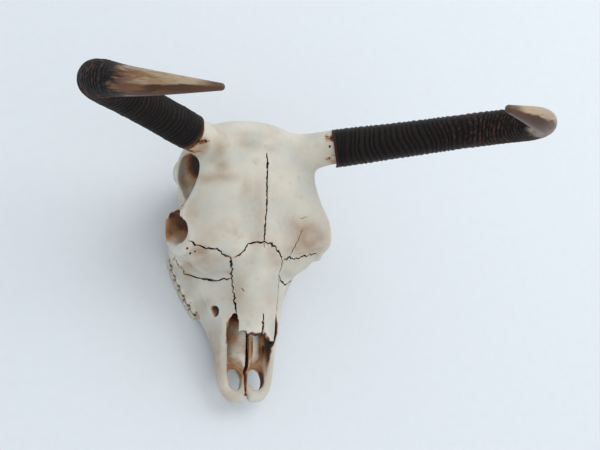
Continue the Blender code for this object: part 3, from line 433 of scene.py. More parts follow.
def smooth_through(knots, count):
    """Points on a natural cubic curve through evenly timed knots, as an array.

    count is a number of even steps, or a list of shares of the curve.
    """
    knots = np.array(knots, dtype=float)
    last = len(knots) - 1
    system = np.zeros((last + 1, last + 1))
    right = np.zeros_like(knots)
    system[0, 0] = system[last, last] = 1.0
    for i in range(1, last):
        system[i, i - 1:i + 2] = (1.0, 4.0, 1.0)
        right[i] = 6.0 * (knots[i - 1] - 2.0 * knots[i] + knots[i + 1])
    bend = np.linalg.solve(system, right)
    moments = np.linspace(0.0, last, count) if isinstance(count, int) else np.array(count) * last
    cells = np.minimum(moments.astype(int), last - 1)
    b = (moments - cells)[:, None]
    a = 1.0 - b
    return (a * knots[cells] + b * knots[cells + 1]
            + ((a ** 3 - a) * bend[cells] + (b ** 3 - b) * bend[cells + 1]) / 6.0)


def read_line(line, y):
    """The values of a line of (y, value, ...) knots at y, with smooth slopes."""
    line = np.array(line, dtype=float)
    at = line[:, 0]
    slope = np.gradient(line[:, 1:], at, axis=0)
    i = int(np.clip(np.searchsorted(at, y) - 1, 0, len(at) - 2))
    step = at[i + 1] - at[i]
    t = (y - at[i]) / step
    return ((2 * t ** 3 - 3 * t ** 2 + 1) * line[i, 1:] + (t ** 3 - 2 * t ** 2 + t) * step * slope[i]
            + (3 * t ** 2 - 2 * t ** 3) * line[i + 1, 1:] + (t ** 3 - t ** 2) * step * slope[i + 1])


def add_object(name, mesh):
    """A new object for a mesh, in the scene."""
    thing = bpy.data.objects.new(name, mesh)
    bpy.context.scene.collection.objects.link(thing)
    return thing


def drop(*things):
    """Remove objects that have done their work."""
    for thing in things:
        bpy.data.objects.remove(thing, do_unlink=True)


def mesh_from_bmesh(name, bm):
    """A mesh from a bmesh, with its faces turned outwards."""
    bmesh.ops.recalc_face_normals(bm, faces=bm.faces)
    mesh = bpy.data.meshes.new(name)
    bm.to_mesh(mesh)
    bm.free()
    return mesh


def loft(name, rings):
    """A closed solid over rings of equal length, given in centimetres."""
    rings = np.array(rings, dtype=float)
    rows, sides = rings.shape[:2]
    corner = np.arange(rows * sides).reshape(rows, sides)
    nearby = np.roll(corner, -1, axis=1)
    faces = np.stack((corner[:-1], nearby[:-1], nearby[1:], corner[1:]), axis=-1).reshape(-1, 4)
    mesh = bpy.data.meshes.new(name)
    caps = [corner[0, ::-1].tolist(), corner[-1].tolist()]
    mesh.from_pydata((rings.reshape(-1, 3) * CM).tolist(), [], faces.tolist() + caps)
    bm = bmesh.new()
    bm.from_mesh(mesh)
    bpy.data.meshes.remove(mesh)
    return add_object(name, mesh_from_bmesh(name, bm))


def ellipsoid(name, centre, radii, segments=32):
    """A stretched sphere."""
    bm = bmesh.new()
    matrix = Matrix.Translation(Vector(centre) * CM) @ Matrix.Diagonal((*(Vector(radii) * CM), 1.0))
    bmesh.ops.create_uvsphere(bm, u_segments=segments, v_segments=segments * 5 // 8, radius=1.0,
                              matrix=matrix)
    return add_object(name, mesh_from_bmesh(name, bm))


def block(name, centre, half_sizes, turn=None):
    """A box, turned about its own centre."""
    bm = bmesh.new()
    matrix = Matrix.Translation(Vector(centre) * CM) @ (turn or Matrix.Identity(4))
    matrix = matrix @ Matrix.Diagonal((*(Vector(half_sizes) * 2.0 * CM), 1.0))
    bmesh.ops.create_cube(bm, size=1.0, matrix=matrix)
    return add_object(name, mesh_from_bmesh(name, bm))


def along_path(path):
    """Two cross directions at each point of a path, carried along it without twist."""
    path = np.array(path, dtype=float)[:, :3]
    heading = np.gradient(path, axis=0)
    heading /= np.linalg.norm(heading, axis=1)[:, None]
    across = np.cross(heading[0], (0.0, 0.0, 1.0) if abs(heading[0, 2]) < 0.9 else (1.0, 0.0, 0.0))
    firsts = []
    for ahead in heading:
        across = across - ahead * np.dot(across, ahead)
        across = across / np.linalg.norm(across)
        firsts.append(across)
    firsts = np.array(firsts)
    return firsts, np.cross(heading, firsts)


def rod(name, bends, stations=14, sides=20):
    """A round rod of changing thickness through (x, y, z, radius) bends, with flat ends."""
    path = smooth_through(bends, stations)
    first, second = along_path(path)
    angles = round_angles(sides)[None, :, None]
    rings = path[:, None, :3] + path[:, None, 3:] * (np.cos(angles) * first[:, None]
                                                     + np.sin(angles) * second[:, None])
    return loft(name, rings)


def settle(thing):
    """Apply the modifiers of an object to its mesh."""
    bpy.context.view_layer.update()
    found = thing.evaluated_get(bpy.context.evaluated_depsgraph_get())
    mesh = bpy.data.meshes.new_from_object(found)
    thing.modifiers.clear()
    thing.data = mesh
    return thing


def modified(thing, kind, **settings):
    """Run one modifier on an object."""
    step = thing.modifiers.new(kind.title(), kind)
    for name, value in settings.items():
        setattr(step, name, value)
    return settle(thing)


def boolean(thing, other, operation):
    """Cut, join or intersect a fine mesh with another one."""
    return modified(thing, "BOOLEAN", operation=operation, object=other, solver="MANIFOLD")


def join(name, pieces):
    """One object that holds the meshes of several."""
    bm = bmesh.new()
    for piece in pieces:
        bm.from_mesh(piece.data)
    drop(*pieces)
    mesh = bpy.data.meshes.new(name)
    bm.to_mesh(mesh)
    bm.free()
    return add_object(name, mesh)


def soften(thing, voxel, rounds):
    """Rebuild a solid on an even grid and smooth it."""
    modified(thing, "REMESH", mode="VOXEL", voxel_size=voxel * CM)
    return modified(thing, "SMOOTH", factor=0.5, iterations=rounds)


def mirrored(values, side):
    """Values that begin with x, moved to a side."""
    return (values[0] * side, *values[1:])


def spot_distance(places, centre, radii):
    """How far each place is from the middle of a spot, where 1 is the spot's edge."""
    return np.linalg.norm((places - np.array(centre)) / np.array(radii), axis=1)


def round_angles(count):
    """Even angles once round."""
    return np.linspace(0.0, 2.0 * math.pi, count, endpoint=False)


def squared(value, power):
    """A sine or cosine bent towards 1 or -1, which makes a round section squarer."""
    return math.copysign(abs(value) ** power, value)


def forehead():
    """The forehead plate, from the nose bones to the poll."""
    rings = []
    across = round_angles(40)
    for y in np.linspace(FOREHEAD[0][0], FOREHEAD[-1][0], 24):
        half_width, ridge, edge = read_line(FOREHEAD, y)
        ring = []
        for angle in across:
            x = half_width * math.cos(angle)
            if math.sin(angle) >= 0.0:
                z = edge + (ridge - edge) * (1.0 - abs(x / half_width) ** FOREHEAD_CROWN)
            else:
                z = edge - FOREHEAD_DEPTH * abs(math.sin(angle)) ** FOREHEAD_BELLY
            ring.append((x, y, z))
        rings.append(ring)
    return loft("forehead", rings)


def snout():
    """The body of the upper jaws, from the nose opening to behind the last teeth."""
    first, last = SNOUT["bridge"][0][0], SNOUT["bridge"][-1][0]
    rings = []
    for y in np.linspace(first, last, 22):
        right = [read_line(line, y) for line in SNOUT.values()]
        left = [(-x, z) for x, z in right[-2:0:-1]]
        corners = [*right, *left]
        padded = [*corners[-SNOUT_LEAD:], *corners, *corners[:SNOUT_LEAD + 1]]
        ring = smooth_through(padded, SNOUT_FINE * (len(padded) - 1) + 1)
        first_turn = ring[SNOUT_LEAD * SNOUT_FINE:(SNOUT_LEAD + len(corners)) * SNOUT_FINE:SNOUT_STEP]
        rings.append([(x, y, z) for x, z in first_turn])
    return loft("snout", rings)


def nose_bones():
    """The vaulted plate of the nose bones."""
    rings = []
    for y in np.linspace(NOSE[0][0], NOSE[-1][0], 14):
        half_width, ridge, edge = read_line(NOSE, y)
        top = []
        for x in np.linspace(-half_width, half_width, 15):
            top.append((x, y, edge + (ridge - edge) * (1.0 - abs(x / half_width) ** NOSE_CROWN)))
        under = [(x, y, z - NOSE_THICKNESS) for x, y, z in reversed(top)]
        rings.append(top + under)
    return loft("nose bones", rings)


def nose_passage():
    """The hollow of the nose, open in front and below the tips of the nose bones."""
    rings = []
    for y in np.linspace(NOSE_PASSAGE[0][0], NOSE_PASSAGE[-1][0], 14):
        half_width, low, high = read_line(NOSE_PASSAGE, y)
        ring = []
        for angle in round_angles(32):
            c, s = math.cos(angle), math.sin(angle)
            x = half_width * squared(c, PASSAGE_SQUARENESS)
            z = (low + high) / 2.0 + (high - low) / 2.0 * squared(s, PASSAGE_SQUARENESS)
            ring.append((x, y, z))
        rings.append(ring)
    return loft("nose passage", rings)


def jaw_bar(side):
    """The bar that carries one upper jaw forward round the nose opening."""
    path = smooth_through([mirrored(row, side) for row in JAW_BAR], 26)
    heading = np.gradient(path[:, :2], axis=0)
    heading /= np.linalg.norm(heading, axis=1)[:, None]
    rings = []
    for (x, y, z, half_width, half_height), (hx, hy) in zip(path, heading):
        ring = []
        for angle in round_angles(20):
            across = half_width * math.cos(angle)
            ring.append((x + across * hy, y - across * hx, z + half_height * math.sin(angle)))
        rings.append(ring)
    return loft("jaw bar", rings)


def eye_rim(side):
    """The thick rim round one eye socket."""
    facing = Vector(mirrored(EYE_FACING, side)).to_track_quat("Z", "Y").to_matrix().to_4x4()
    matrix = Matrix.Translation(mirrored(EYE_CENTRE, side)) @ facing
    rings = []
    for turn in np.linspace(0.0, 2.0 * math.pi, 41):
        ring = []
        for angle in round_angles(14):
            reach = EYE_RADIUS + EYE_RIM * math.cos(angle)
            ring.append(matrix @ Vector((reach * math.cos(turn), reach * math.sin(turn),
                                         EYE_RIM * math.sin(angle))))
        rings.append(ring)
    return loft("eye rim", rings)


def row_place(share):
    """A point on the middle line of the right cheek teeth, at a share of the row from its back."""
    back, front = Vector(TOOTH_ROW[0]), Vector(TOOTH_ROW[1])
    outward = Vector((back.y - front.y, front.x - back.x)).normalized()
    return back.lerp(front, share) + outward * TOOTH_BOW * 4.0 * share * (1.0 - share)


def root_swellings(side):
    """The low swellings of the gum over the tooth roots."""
    out, z, radii = ROOT_SWELLING
    swellings = []
    for i in range(TEETH_PER_SIDE):
        x, y = row_place((i + 0.5) / TEETH_PER_SIDE)
        swellings.append(ellipsoid("root swelling", (side * (x + out), y, z), radii))
    return swellings


def horn_path(label, shares):
    """Centre line and radius of one horn in the skull's frame, at shares of its length."""
    placed = []
    for x, y, z, radius in smooth_through(HORN[label], shares):
        placed.append((*from_forehead((x * SIDES[label], y, z)), radius))
    return np.array(placed)


def core_rod(label):
    """The bony core that carries one horn."""
    bends = []
    for x, y, z, radius in HORN_CORE:
        bends.append((*from_forehead((x * SIDES[label], y, z)), radius))
    return rod("horn core", bends)


def bone_forms():
    """All the forms that melt into the skull."""
    forms = [forehead(), snout(), nose_bones()]
    for name, (centre, half_sizes) in PLATES.items():
        forms.append(block(name, centre, half_sizes))
    for name, bends in MIDDLE_RODS.items():
        forms.append(rod(name, bends))
    for name, (centre, radii) in MIDDLE_FORMS.items():
        forms.append(ellipsoid(name, centre, radii))
    for label, side in SIDES.items():
        forms += [jaw_bar(side), eye_rim(side), core_rod(label), *root_swellings(side)]
        for name, (centre, radii) in SIDE_FORMS.items():
            forms.append(ellipsoid(name, mirrored(centre, side), radii))
        for name, bends in SIDE_RODS.items():
            forms.append(rod(name, [mirrored(bend, side) for bend in bends]))
    return forms


def hollow_forms():
    """All the forms that are carved out of the skull."""
    hollows = [nose_passage()]
    for name, (centre, radii) in MIDDLE_HOLLOWS.items():
        hollows.append(ellipsoid(name, centre, radii))
    for side in SIDES.values():
        for name, (centre, radii) in SIDE_HOLLOWS.items():
            hollows.append(ellipsoid(name, mirrored(centre, side), radii))
    return hollows


def prism(name, outline, low, high, lean=0.0):
    """A solid between two heights over an outline in the forehead frame.

    low is a height, or a function of x that gives one. A corner may bring its own top as a third
    number. lean is how far the walls run forwards per depth.
    """
    bm = bmesh.new()
    under = []
    over = []
    for x, y, *own_top in outline:
        floor = low(x) if callable(low) else low
        top = own_top[0] if own_top else high
        under.append(bm.verts.new(Vector(from_forehead((x, y + lean * floor, floor))) * CM))
        over.append(bm.verts.new(Vector(from_forehead((x, y + lean * top, top))) * CM))
    bm.faces.new(under[::-1])
    bm.faces.new(over)
    for i in range(len(outline)):
        j = (i + 1) % len(outline)
        bm.faces.new((under[i], under[j], over[j], over[i]))
    bmesh.ops.triangulate(bm, faces=bm.faces)
    return add_object(name, mesh_from_bmesh(name, bm))


def jagged(line, seed, reach=0.12, spacing=0.34):
    """A line with small random steps to either side between its bends, as bone sutures have."""
    rng = np.random.default_rng(seed)
    points = [line[0]]
    for start, end in zip(line, line[1:]):
        start, end = np.array(start), np.array(end)
        length = np.linalg.norm(end - start)
        sideways = np.array((start[1] - end[1], end[0] - start[0])) / length
        steps = max(1, round(length / spacing))
        for i in range(1, steps):
            t = (i + rng.uniform(-0.25, 0.25)) / steps
            points.append(tuple(start + (end - start) * t + sideways * rng.uniform(-reach, reach)))
        points.append(tuple(end))
    return points


def suture_lines():
    """The jagged line of every suture."""
    lines = {}
    for seed, (name, (line, _, reach)) in enumerate(SUTURES.items()):
        lines[name] = jagged(line, seed, reach)
    return lines


def surface_at(tree, x, y):
    """The point of the surface over a point of the forehead plane, and the surface's normal."""
    above = Vector(from_forehead((x, y, ABOVE_SKULL)))
    down = Vector(from_forehead((x, y, 0.0))) - above
    point, normal, _, _ = tree.ray_cast(above * CM, down.normalized())
    return (point / CM if point else None), normal


def groove(name, line, width, depth, seed, tree):
    """A slot of uneven width that follows the surface along a line, as a cutter."""
    rng = np.random.default_rng(seed)
    found = [surface_at(tree, x, y) for x, y in line]
    found = [(point, normal) for point, normal in found if point]
    if len(found) < 3:
        raise ValueError(f"the line {name} misses the bone")
    points = np.array([point for point, _ in found])
    normals = np.array([normal for _, normal in found])
    padded = np.vstack((normals[:1], normals, normals[-1:]))
    normals = padded[:-2] + padded[1:-1] + padded[2:]
    normals /= np.linalg.norm(normals, axis=1)[:, None]
    heading = np.gradient(points, axis=0)
    sideways = np.cross(heading, normals)
    sideways /= np.linalg.norm(sideways, axis=1)[:, None]
    knots = np.arange(0, len(points) + GROOVE_SLOW_STEP + 1, GROOVE_SLOW_STEP)
    slow = np.interp(np.arange(len(points)), knots, rng.uniform(*GROOVE_SLOW, len(knots)))
    widths = width / 2.0 * rng.uniform(*GROOVE_QUICK, len(points)) * slow
    ends = np.minimum(np.arange(len(points)), np.arange(len(points))[::-1])
    widths *= np.clip(GROOVE_END + ends * GROOVE_END, 0.0, 1.0)
    rings = []
    for point, normal, side, half in zip(points, normals, sideways, widths):
        over, under = point + normal * GROOVE_OVER, point - normal * depth
        rings.append((over - side * half * GROOVE_MOUTH, over + side * half * GROOVE_MOUTH,
                      under + side * half * GROOVE_FOOT, under - side * half * GROOVE_FOOT))
    return loft(name, rings)


def grown(cell, amount):
    """A copy of a cutter that is larger all round."""
    wider = add_object(cell.name + " wider", cell.data.copy())
    return modified(wider, "DISPLACE", strength=amount * CM, mid_level=0.0)


def edge_ends(mesh):
    """The first and the second vertex of each edge, as two arrays."""
    edges = np.empty(len(mesh.edges) * 2, np.int32)
    mesh.edges.foreach_get("vertices", edges)
    return edges.reshape(-1, 2).T


def neighbour_mean(mesh):
    """A function from one row of numbers per vertex to the mean rows of the vertex's neighbours."""
    a, b = edge_ends(mesh)
    count = len(mesh.vertices)
    degree = np.maximum(np.bincount(a, minlength=count) + np.bincount(b, minlength=count), 1)

    def mean(rows):
        """The mean of the rows of each vertex's neighbours."""
        totals = [np.bincount(a, column[b], count) + np.bincount(b, column[a], count)
                  for column in rows.T]
        return np.stack(totals, axis=1) / degree[:, None]

    return mean


def largest_body(thing):
    """Drop the crumbs that a cut can leave, and keep the largest body."""
    mesh = thing.data
    a, b = edge_ends(mesh)
    label = np.arange(len(mesh.vertices))
    while True:
        lower = np.minimum(label[a], label[b])
        after = label.copy()
        np.minimum.at(after, a, lower)
        np.minimum.at(after, b, lower)
        after = after[after]
        if np.array_equal(after, label):
            break
        label = after
    keep = np.bincount(label).argmax()
    crumbs = np.flatnonzero(label != keep)
    if len(crumbs):
        bm = bmesh.new()
        bm.from_mesh(mesh)
        bm.verts.ensure_lookup_table()
        bmesh.ops.delete(bm, geom=[bm.verts[i] for i in crumbs], context="VERTS")
        bm.to_mesh(mesh)
        bm.free()
    return thing


def split_off(rest, name, cell):
    """Take the part of a solid inside a cell as a new part, and leave a thin gap to the rest."""
    piece = add_object(name, rest.data.copy())
    boolean(piece, cell, "INTERSECT")
    wider = grown(cell, SUTURE_GAP)
    boolean(rest, wider, "DIFFERENCE")
    drop(wider, cell)
    return largest_body(piece)


def nose_cell(lines):
    """The space of the nose bones."""
    outline = [*lines["nose arch right"], *lines["nose side right"][1:], *NOSE_FRONT,
               *lines["nose side left"][::-1], *lines["nose arch left"][:0:-1]]
    return prism("nose cell", outline, -NOSE_DEPTH, ABOVE_BONE)


def cheek_cell(label, lines):
    """The space of one tear bone and cheekbone."""
    (x_in, z_in), (x_out, z_out) = CHEEK_FLOOR
    behind, inside = ([mirrored(corner, SIDES[label]) for corner in corners]
                      for corners in (CHEEK_BACK, CHEEK_INSIDE))
    outline = [*lines["brow " + label], *behind, *lines["cheek " + label][::-1], *inside]

    def low(x):
        """The height of the lower side at x."""
        return z_in + (z_out - z_in) * (abs(x) - x_in) / (x_out - x_in)

    return prism("cheek cell", outline, low, ABOVE_BONE)


def box_cell(name, low, high):
    """A box between two corners, as the space of a bone."""
    low, high = Vector(low), Vector(high)
    return block(name, (low + high) / 2, (high - low) / 2)


def face_cell():
    """The space of the two upper jaws below the forehead."""
    outline = [*FACE_HALF, *((-x, y) for x, y in FACE_HALF[::-1])]
    return prism("face cell", outline, *FACE_HEIGHTS)


def melted(thing):
    """Smooth the skull strongly at the places where its forms flow together."""
    mesh = thing.data
    mean = neighbour_mean(mesh)
    places = coordinates(mesh).astype(float)
    share = np.zeros(len(places))
    for centre, radii, strength in MELTS:
        for side in SIDES.values():
            away = spot_distance(places, mirrored(centre, side), radii)
            full_inside = np.clip(1.6 - 1.2 * away, 0.0, 1.0)      # full up to half of the radii
            share = np.maximum(share, strength * full_inside)
    step = (share * MELT_STEP)[:, None]
    for _ in range(MELT_ROUNDS):
        places = places + step * (mean(places) - places)
    mesh.vertices.foreach_set("co", (places * CM).ravel().astype(np.float32))
    mesh.update()


def mid_ridge():
    """The ridge along the middle of the nose floor, with a trough along its top."""
    rings = []
    slots = []
    for y in np.linspace(MID_RIDGE[0][0], MID_RIDGE[-1][0], 30):
        half_width, top = read_line(MID_RIDGE, y)
        over = []
        for x in np.linspace(-1.0, 1.0, 17):
            z = RIDGE_BASE + (top - RIDGE_BASE) * (1.0 - abs(x) ** RIDGE_CROWN)
            over.append((x * half_width, y, z))
        under = [(x, y, RIDGE_BASE - RIDGE_SUNK) for x, _, _ in reversed(over)]
        rings.append(over + under)
        low = max(top - TROUGH_DEPTH, RIDGE_BASE + TROUGH_FLOOR)
        high = top + ABOVE_BONE
        half = TROUGH_WIDTH / 2.0 * min(1.0, TROUGH_START + TROUGH_WIDENING * (y - MID_RIDGE[0][0]))
        foot = half * TROUGH_TAPER
        slots.append([(-half, y, high), (half, y, high), (foot, y, low), (-foot, y, low)])
    return loft("mid ridge", rings), loft("trough", slots)


def coordinates(mesh):
    """The vertices of a mesh as an array, in centimetres."""
    places = np.empty(len(mesh.vertices) * 3, np.float32)
    mesh.vertices.foreach_get("co", places)
    return places.reshape(-1, 3) / CM


def normals_of(mesh):
    """The vertex normals of a mesh as an array."""
    found = np.empty(len(mesh.vertices) * 3, np.float32)
    mesh.vertices.foreach_get("normal", found)
    return found.reshape(-1, 3)


def hollowness(mesh, rounds=60):
    """How far each vertex lies below or above its smoothed surroundings, in centimetres."""
    mean = neighbour_mean(mesh)
    places = coordinates(mesh).astype(float)
    smooth = places.copy()
    for _ in range(rounds):
        smooth = 0.4 * smooth + 0.6 * mean(smooth)
    return np.einsum("ij,ij->i", places - smooth, normals_of(mesh))


def openness(proxy, rays=40, reach=9.0, lift=0.15):
    """The share of directions from each vertex of a coarse solid that meet nothing within reach."""
    bpy.context.view_layer.update()
    tree = BVHTree.FromObject(proxy, bpy.context.evaluated_depsgraph_get())
    i = np.arange(rays)
    up = 1.0 - (i + 0.5) / rays
    turn = i * math.pi * (3.0 - math.sqrt(5.0))
    flat = np.sqrt(1.0 - up ** 2)
    fan = [Vector(v) for v in np.stack((flat * np.cos(turn), flat * np.sin(turn), up), axis=1)]
    weight = up / up.sum()
    values = []
    for vertex in proxy.data.vertices:
        turned = vertex.normal.to_track_quat("Z", "Y")
        start = vertex.co + vertex.normal * (lift * CM)
        seen = sum(w for v, w in zip(fan, weight)
                   if tree.ray_cast(start, turned @ v, reach * CM)[0] is None)
        values.append(seen)
    return np.array(values)


class Weather:
    """How open and how hollow the whole skull is at each place, for its bones to look up."""

    def __init__(self, skull):
        proxy = add_object("proxy", skull.data.copy())
        modified(proxy, "DECIMATE", ratio=PROXY_FACES / len(proxy.data.polygons))
        self.open_values = openness(proxy)
        self.open_tree = self.tree_of(coordinates(proxy.data))
        self.open_normals = normals_of(proxy.data)
        drop(proxy)
        self.hollow_values = hollowness(skull.data)
        self.hollow_tree = self.tree_of(coordinates(skull.data))

    @staticmethod
    def tree_of(places):
        """A search tree over places."""
        tree = KDTree(len(places))
        for i, place in enumerate(places):
            tree.insert(place, i)
        tree.balance()
        return tree

    def at(self, place, normal):
        """Openness and hollowness at a place of the surface."""
        total = reached = 0.0
        for _, i, distance in self.open_tree.find_n(place, PROXY_NEAR):
            alike = max(float(self.open_normals[i] @ normal), 0.01)
            weight = alike ** 2 / (distance + 0.1)
            total += weight * self.open_values[i]
            reached += weight
        return total / reached, self.hollow_values[self.hollow_tree.find(place)[1]]


def near_spots(places, spots):
    """How near each place is to the middle of the nearest soft-edged spot, times its strength."""
    found = np.zeros(len(places))
    for name, (centre, radii, strength) in spots.items():
        for side in [SIDES[label] for label in SIDES if label in name] or SIDES.values():
            away = spot_distance(places, mirrored(centre, side), radii)
            found = np.maximum(found, strength * np.clip((SPOT_EDGE - away) / SPOT_SOFT, 0.0, 1.0))
    return found


def gum_spots():
    """Dark spots on the gum, over the gaps between the cheek teeth and along their roots."""
    spots = {}
    for i in range(2 * TEETH_PER_SIDE + 1):
        x, y = row_place(i / (2 * TEETH_PER_SIDE))
        z, radii, strength = GUM_AT_ROOT if i % 2 else GUM_AT_GAP
        spots[f"gum {i}"] = ((x + GUM_OUT, y, z), radii, strength)
    return spots


def stain_and_shade_at(places, normals, open_share):
    """How strongly brown has soaked in: in hollows, on broken edges and at a few bare places."""
    hidden = np.clip((HIDDEN_BELOW - open_share) / HIDDEN_SOFT, 0.0, 1.0)
    forward = -normals[:, 1] * math.cos(FOREHEAD_SLOPE) - normals[:, 2] * math.sin(FOREHEAD_SLOPE)
    broken = np.clip((np.abs(forward) - BROKEN_ABOVE) / BROKEN_SOFT, 0.0, 1.0)
    # most spots of STAINS are stain, but a few are painted shade in hollows
    return np.maximum.reduce((near_spots(places, STAINS) * hidden,
                              near_spots(places, EDGE_STAINS) * broken,
                              near_spots(places, {**BARE_STAINS, **gum_spots()})))


def lip_at(places):
    """How near each place of a horn core is to the edge of its horn."""
    found = np.zeros(len(places))
    for label in SIDES:
        path = horn_path(label, [0.0, 0.01])
        heading = path[1, :3] - path[0, :3]
        behind = (path[0, :3] - places) @ (heading / np.linalg.norm(heading))
        near = np.linalg.norm(places - path[0, :3], axis=1) < CORE_REACH
        found = np.maximum(found, near * np.clip(1.0 - behind / LIP_MARKS, 0.0, 1.0))
    return found


def patch_at(places):
    """How warm the outside of the bone is at each place."""
    slope = FOREHEAD_SLOPE
    along = places[:, 1] * math.cos(slope) + (places[:, 2] - NASION_HEIGHT) * math.sin(slope)
    found = np.zeros(len(places))
    for (x, y), radii, strength in PATCHES:
        away = ((places[:, 0] - x) / radii[0]) ** 2 + ((along - y) / radii[1]) ** 2
        found = np.maximum(found, strength * np.exp(-0.7 * away))
    return found


def write_attribute(mesh, name, values, domain="POINT"):
    """Store one number for each vertex or face corner."""
    layer = mesh.attributes.new(name, "FLOAT", domain)
    layer.data.foreach_set("value", np.asarray(values, np.float32))


def seam_at(places, cutter_tree, reach=0.35):
    """How near each place is to a suture or crack."""
    near = []
    for place in places * CM:
        distance = cutter_tree.find_nearest(place, reach * CM)[3]
        near.append(0.0 if distance is None else 1.0 - distance / (reach * CM))
    return near


def mark_cracks(mesh, cutter_tree):
    """Mark the faces that the suture cutters left, at their corners."""
    corners = np.zeros(len(mesh.loops), np.float32)
    for face in mesh.polygons:
        near = cutter_tree.find_nearest(face.center, CRACK_TOUCH)
        if near[0] is not None and abs(near[1].dot(face.normal)) > 0.9:
            corners[face.loop_start:face.loop_start + face.loop_total] = 1.0
    write_attribute(mesh, "crack", corners, "CORNER")


def weathered(piece, weather, cutter_tree):
    """Write the masks that the bone material reads."""
    mesh = piece.data
    places = coordinates(mesh)
    normals = normals_of(mesh)
    found = np.array([weather.at(place, normal) for place, normal in zip(places, normals)])
    write_attribute(mesh, "open", found[:, 0])
    write_attribute(mesh, "hollow", found[:, 1])
    write_attribute(mesh, "stain", stain_and_shade_at(places, normals, found[:, 0]))
    lip = lip_at(places)
    write_attribute(mesh, "lip", lip)
    write_attribute(mesh, "streak", lip * near_spots(places, STREAKS))
    write_attribute(mesh, "seam", seam_at(places, cutter_tree))
    write_attribute(mesh, "patch", patch_at(places))
    mark_cracks(mesh, cutter_tree)


def carve_skull(settings):
    """The whole skull in one fine solid, without sutures, teeth or horns."""
    skull = soften(join("skull", bone_forms()), BLEND_VOXEL, BLEND_ROUNDS)
    hollows = soften(join("hollows", hollow_forms()), BLEND_VOXEL, HOLLOW_ROUNDS)
    for thing in (skull, hollows):
        modified(thing, "SUBSURF", levels=1, render_levels=1)
    ridge, trough = mid_ridge()
    boolean(skull, hollows, "DIFFERENCE")
    boolean(skull, ridge, "UNION")
    breaks = [prism("nose tips", NOSE_TIPS, *NOSE_TIPS_CUT)]
    for side in SIDES.values():
        notch = [(x * side, y) for x, y in NOSE_NOTCH]
        breaks.append(prism("nose notch", notch, *NOSE_NOTCH_CUT))
    breaks.append(prism("eye break", EYE_BREAK, *EYE_BREAK_CUT))
    for cutter in (*breaks, trough):
        boolean(skull, cutter, "DIFFERENCE")
    drop(hollows, ridge, trough, *breaks)
    soften(skull, settings.grid / CM, settings.softness)
    waves = bpy.data.textures.new("waves", "CLOUDS")
    waves.noise_scale = settings.wave_length
    modified(skull, "DISPLACE", texture=waves, strength=settings.wave_height * 2.0,
             texture_coords="GLOBAL")
    melted(skull)
    floor = box_cell("floor", *UNDER_FLOOR)
    boolean(skull, floor, "DIFFERENCE")
    drop(floor)
    for label in SIDES:
        trim_core(skull, label)
    return skull


def trim_core(skull, label):
    """Cut one horn core off flat, inside its horn."""
    path = horn_path(label, [0.0, 0.01])
    start, heading = Vector(path[0, :3]), Vector(path[1, :3] - path[0, :3]).normalized()
    turn = heading.to_track_quat("Z", "Y").to_matrix().to_4x4()
    cutter = block("core end", start + heading * CORE_CUTTER, (6, 6, CORE_CUTTER), turn=turn)
    boolean(skull, cutter, "DIFFERENCE")
    drop(cutter)


def suture_cutter(skull, lines, settings):
    """All the sutures, cracks and pits in one cutter."""
    bpy.context.view_layer.update()
    tree = BVHTree.FromObject(skull, bpy.context.evaluated_depsgraph_get())
    slots = []
    for seed, (name, (_, width, _)) in enumerate(SUTURES.items()):
        slots.append(groove(name, lines[name], width * settings.suture_width,
                            settings.suture_depth / CM, SEEDS["suture width"] + seed, tree))
    for seed, (name, (line, width)) in enumerate(CRACKS.items()):
        slots.append(groove(name, jagged(line, SEEDS["crack line"] + seed),
                            width * settings.suture_width,
                            settings.suture_depth / CM * CRACK_DEPTH, SEEDS["crack width"] + seed, tree))
    for x, y, radius in PITS:
        point, _ = surface_at(tree, x, y)
        if point:
            radii = [radius * stretch for stretch in PIT_STRETCH]
            slots.append(ellipsoid("pit", point, radii, segments=12))
    whole = slots[0]
    for slot in slots[1:]:
        boolean(whole, slot, "UNION")
    drop(*slots[1:])
    return whole


def part_skull(skull, lines):
    """Split the skull into its bones. Gives each bone by the name of the solid it stands for."""
    bones = {"nasal_bones": split_off(skull, "nose", nose_cell(lines))}
    for label in SIDES:
        bones["cheekbone_" + label] = split_off(skull, "cheek", cheek_cell(label, lines))
    face = split_off(skull, "face", face_cell())
    bones["occiput"] = split_off(skull, "occiput", box_cell("back cell", *OCCIPUT_SPACE))
    bones["cranium"] = largest_body(skull)
    low, high = JAW_SPACE
    for label, side in SIDES.items():
        x_near, x_far = sorted((side * MIDLINE_GAP / 2, side * high[0]))
        half = box_cell("half cell", (x_near, *low[1:]), (x_far, *high[1:]))
        jaw = add_object("jaw", face.data.copy())
        boolean(jaw, half, "INTERSECT")
        drop(half)
        front = box_cell("front cell", low, (high[0], PREMAXILLA_BACK, high[2]))
        bones["premaxilla_" + label] = split_off(jaw, "front", front)
        bones["maxilla_" + label] = largest_body(jaw)
    drop(face)
    return bones


def set_piece(thing, name, replaced, material):
    """Give a finished piece its name, its finish and its place in the frame."""
    thing.name = name
    thing.data.name = name
    thing.data.materials.clear()
    thing.data.materials.append(material)
    thing.data.transform(Matrix.Translation((-WIDTH_MIDDLE * CM, -LENGTH_MIDDLE * CM, 0.0)))
    thing.data.shade_smooth()
    thing.data.set_sharp_from_angle(angle=SHARP_ANGLE)
    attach(thing, "root")
    if replaced:
        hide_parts(replaced)


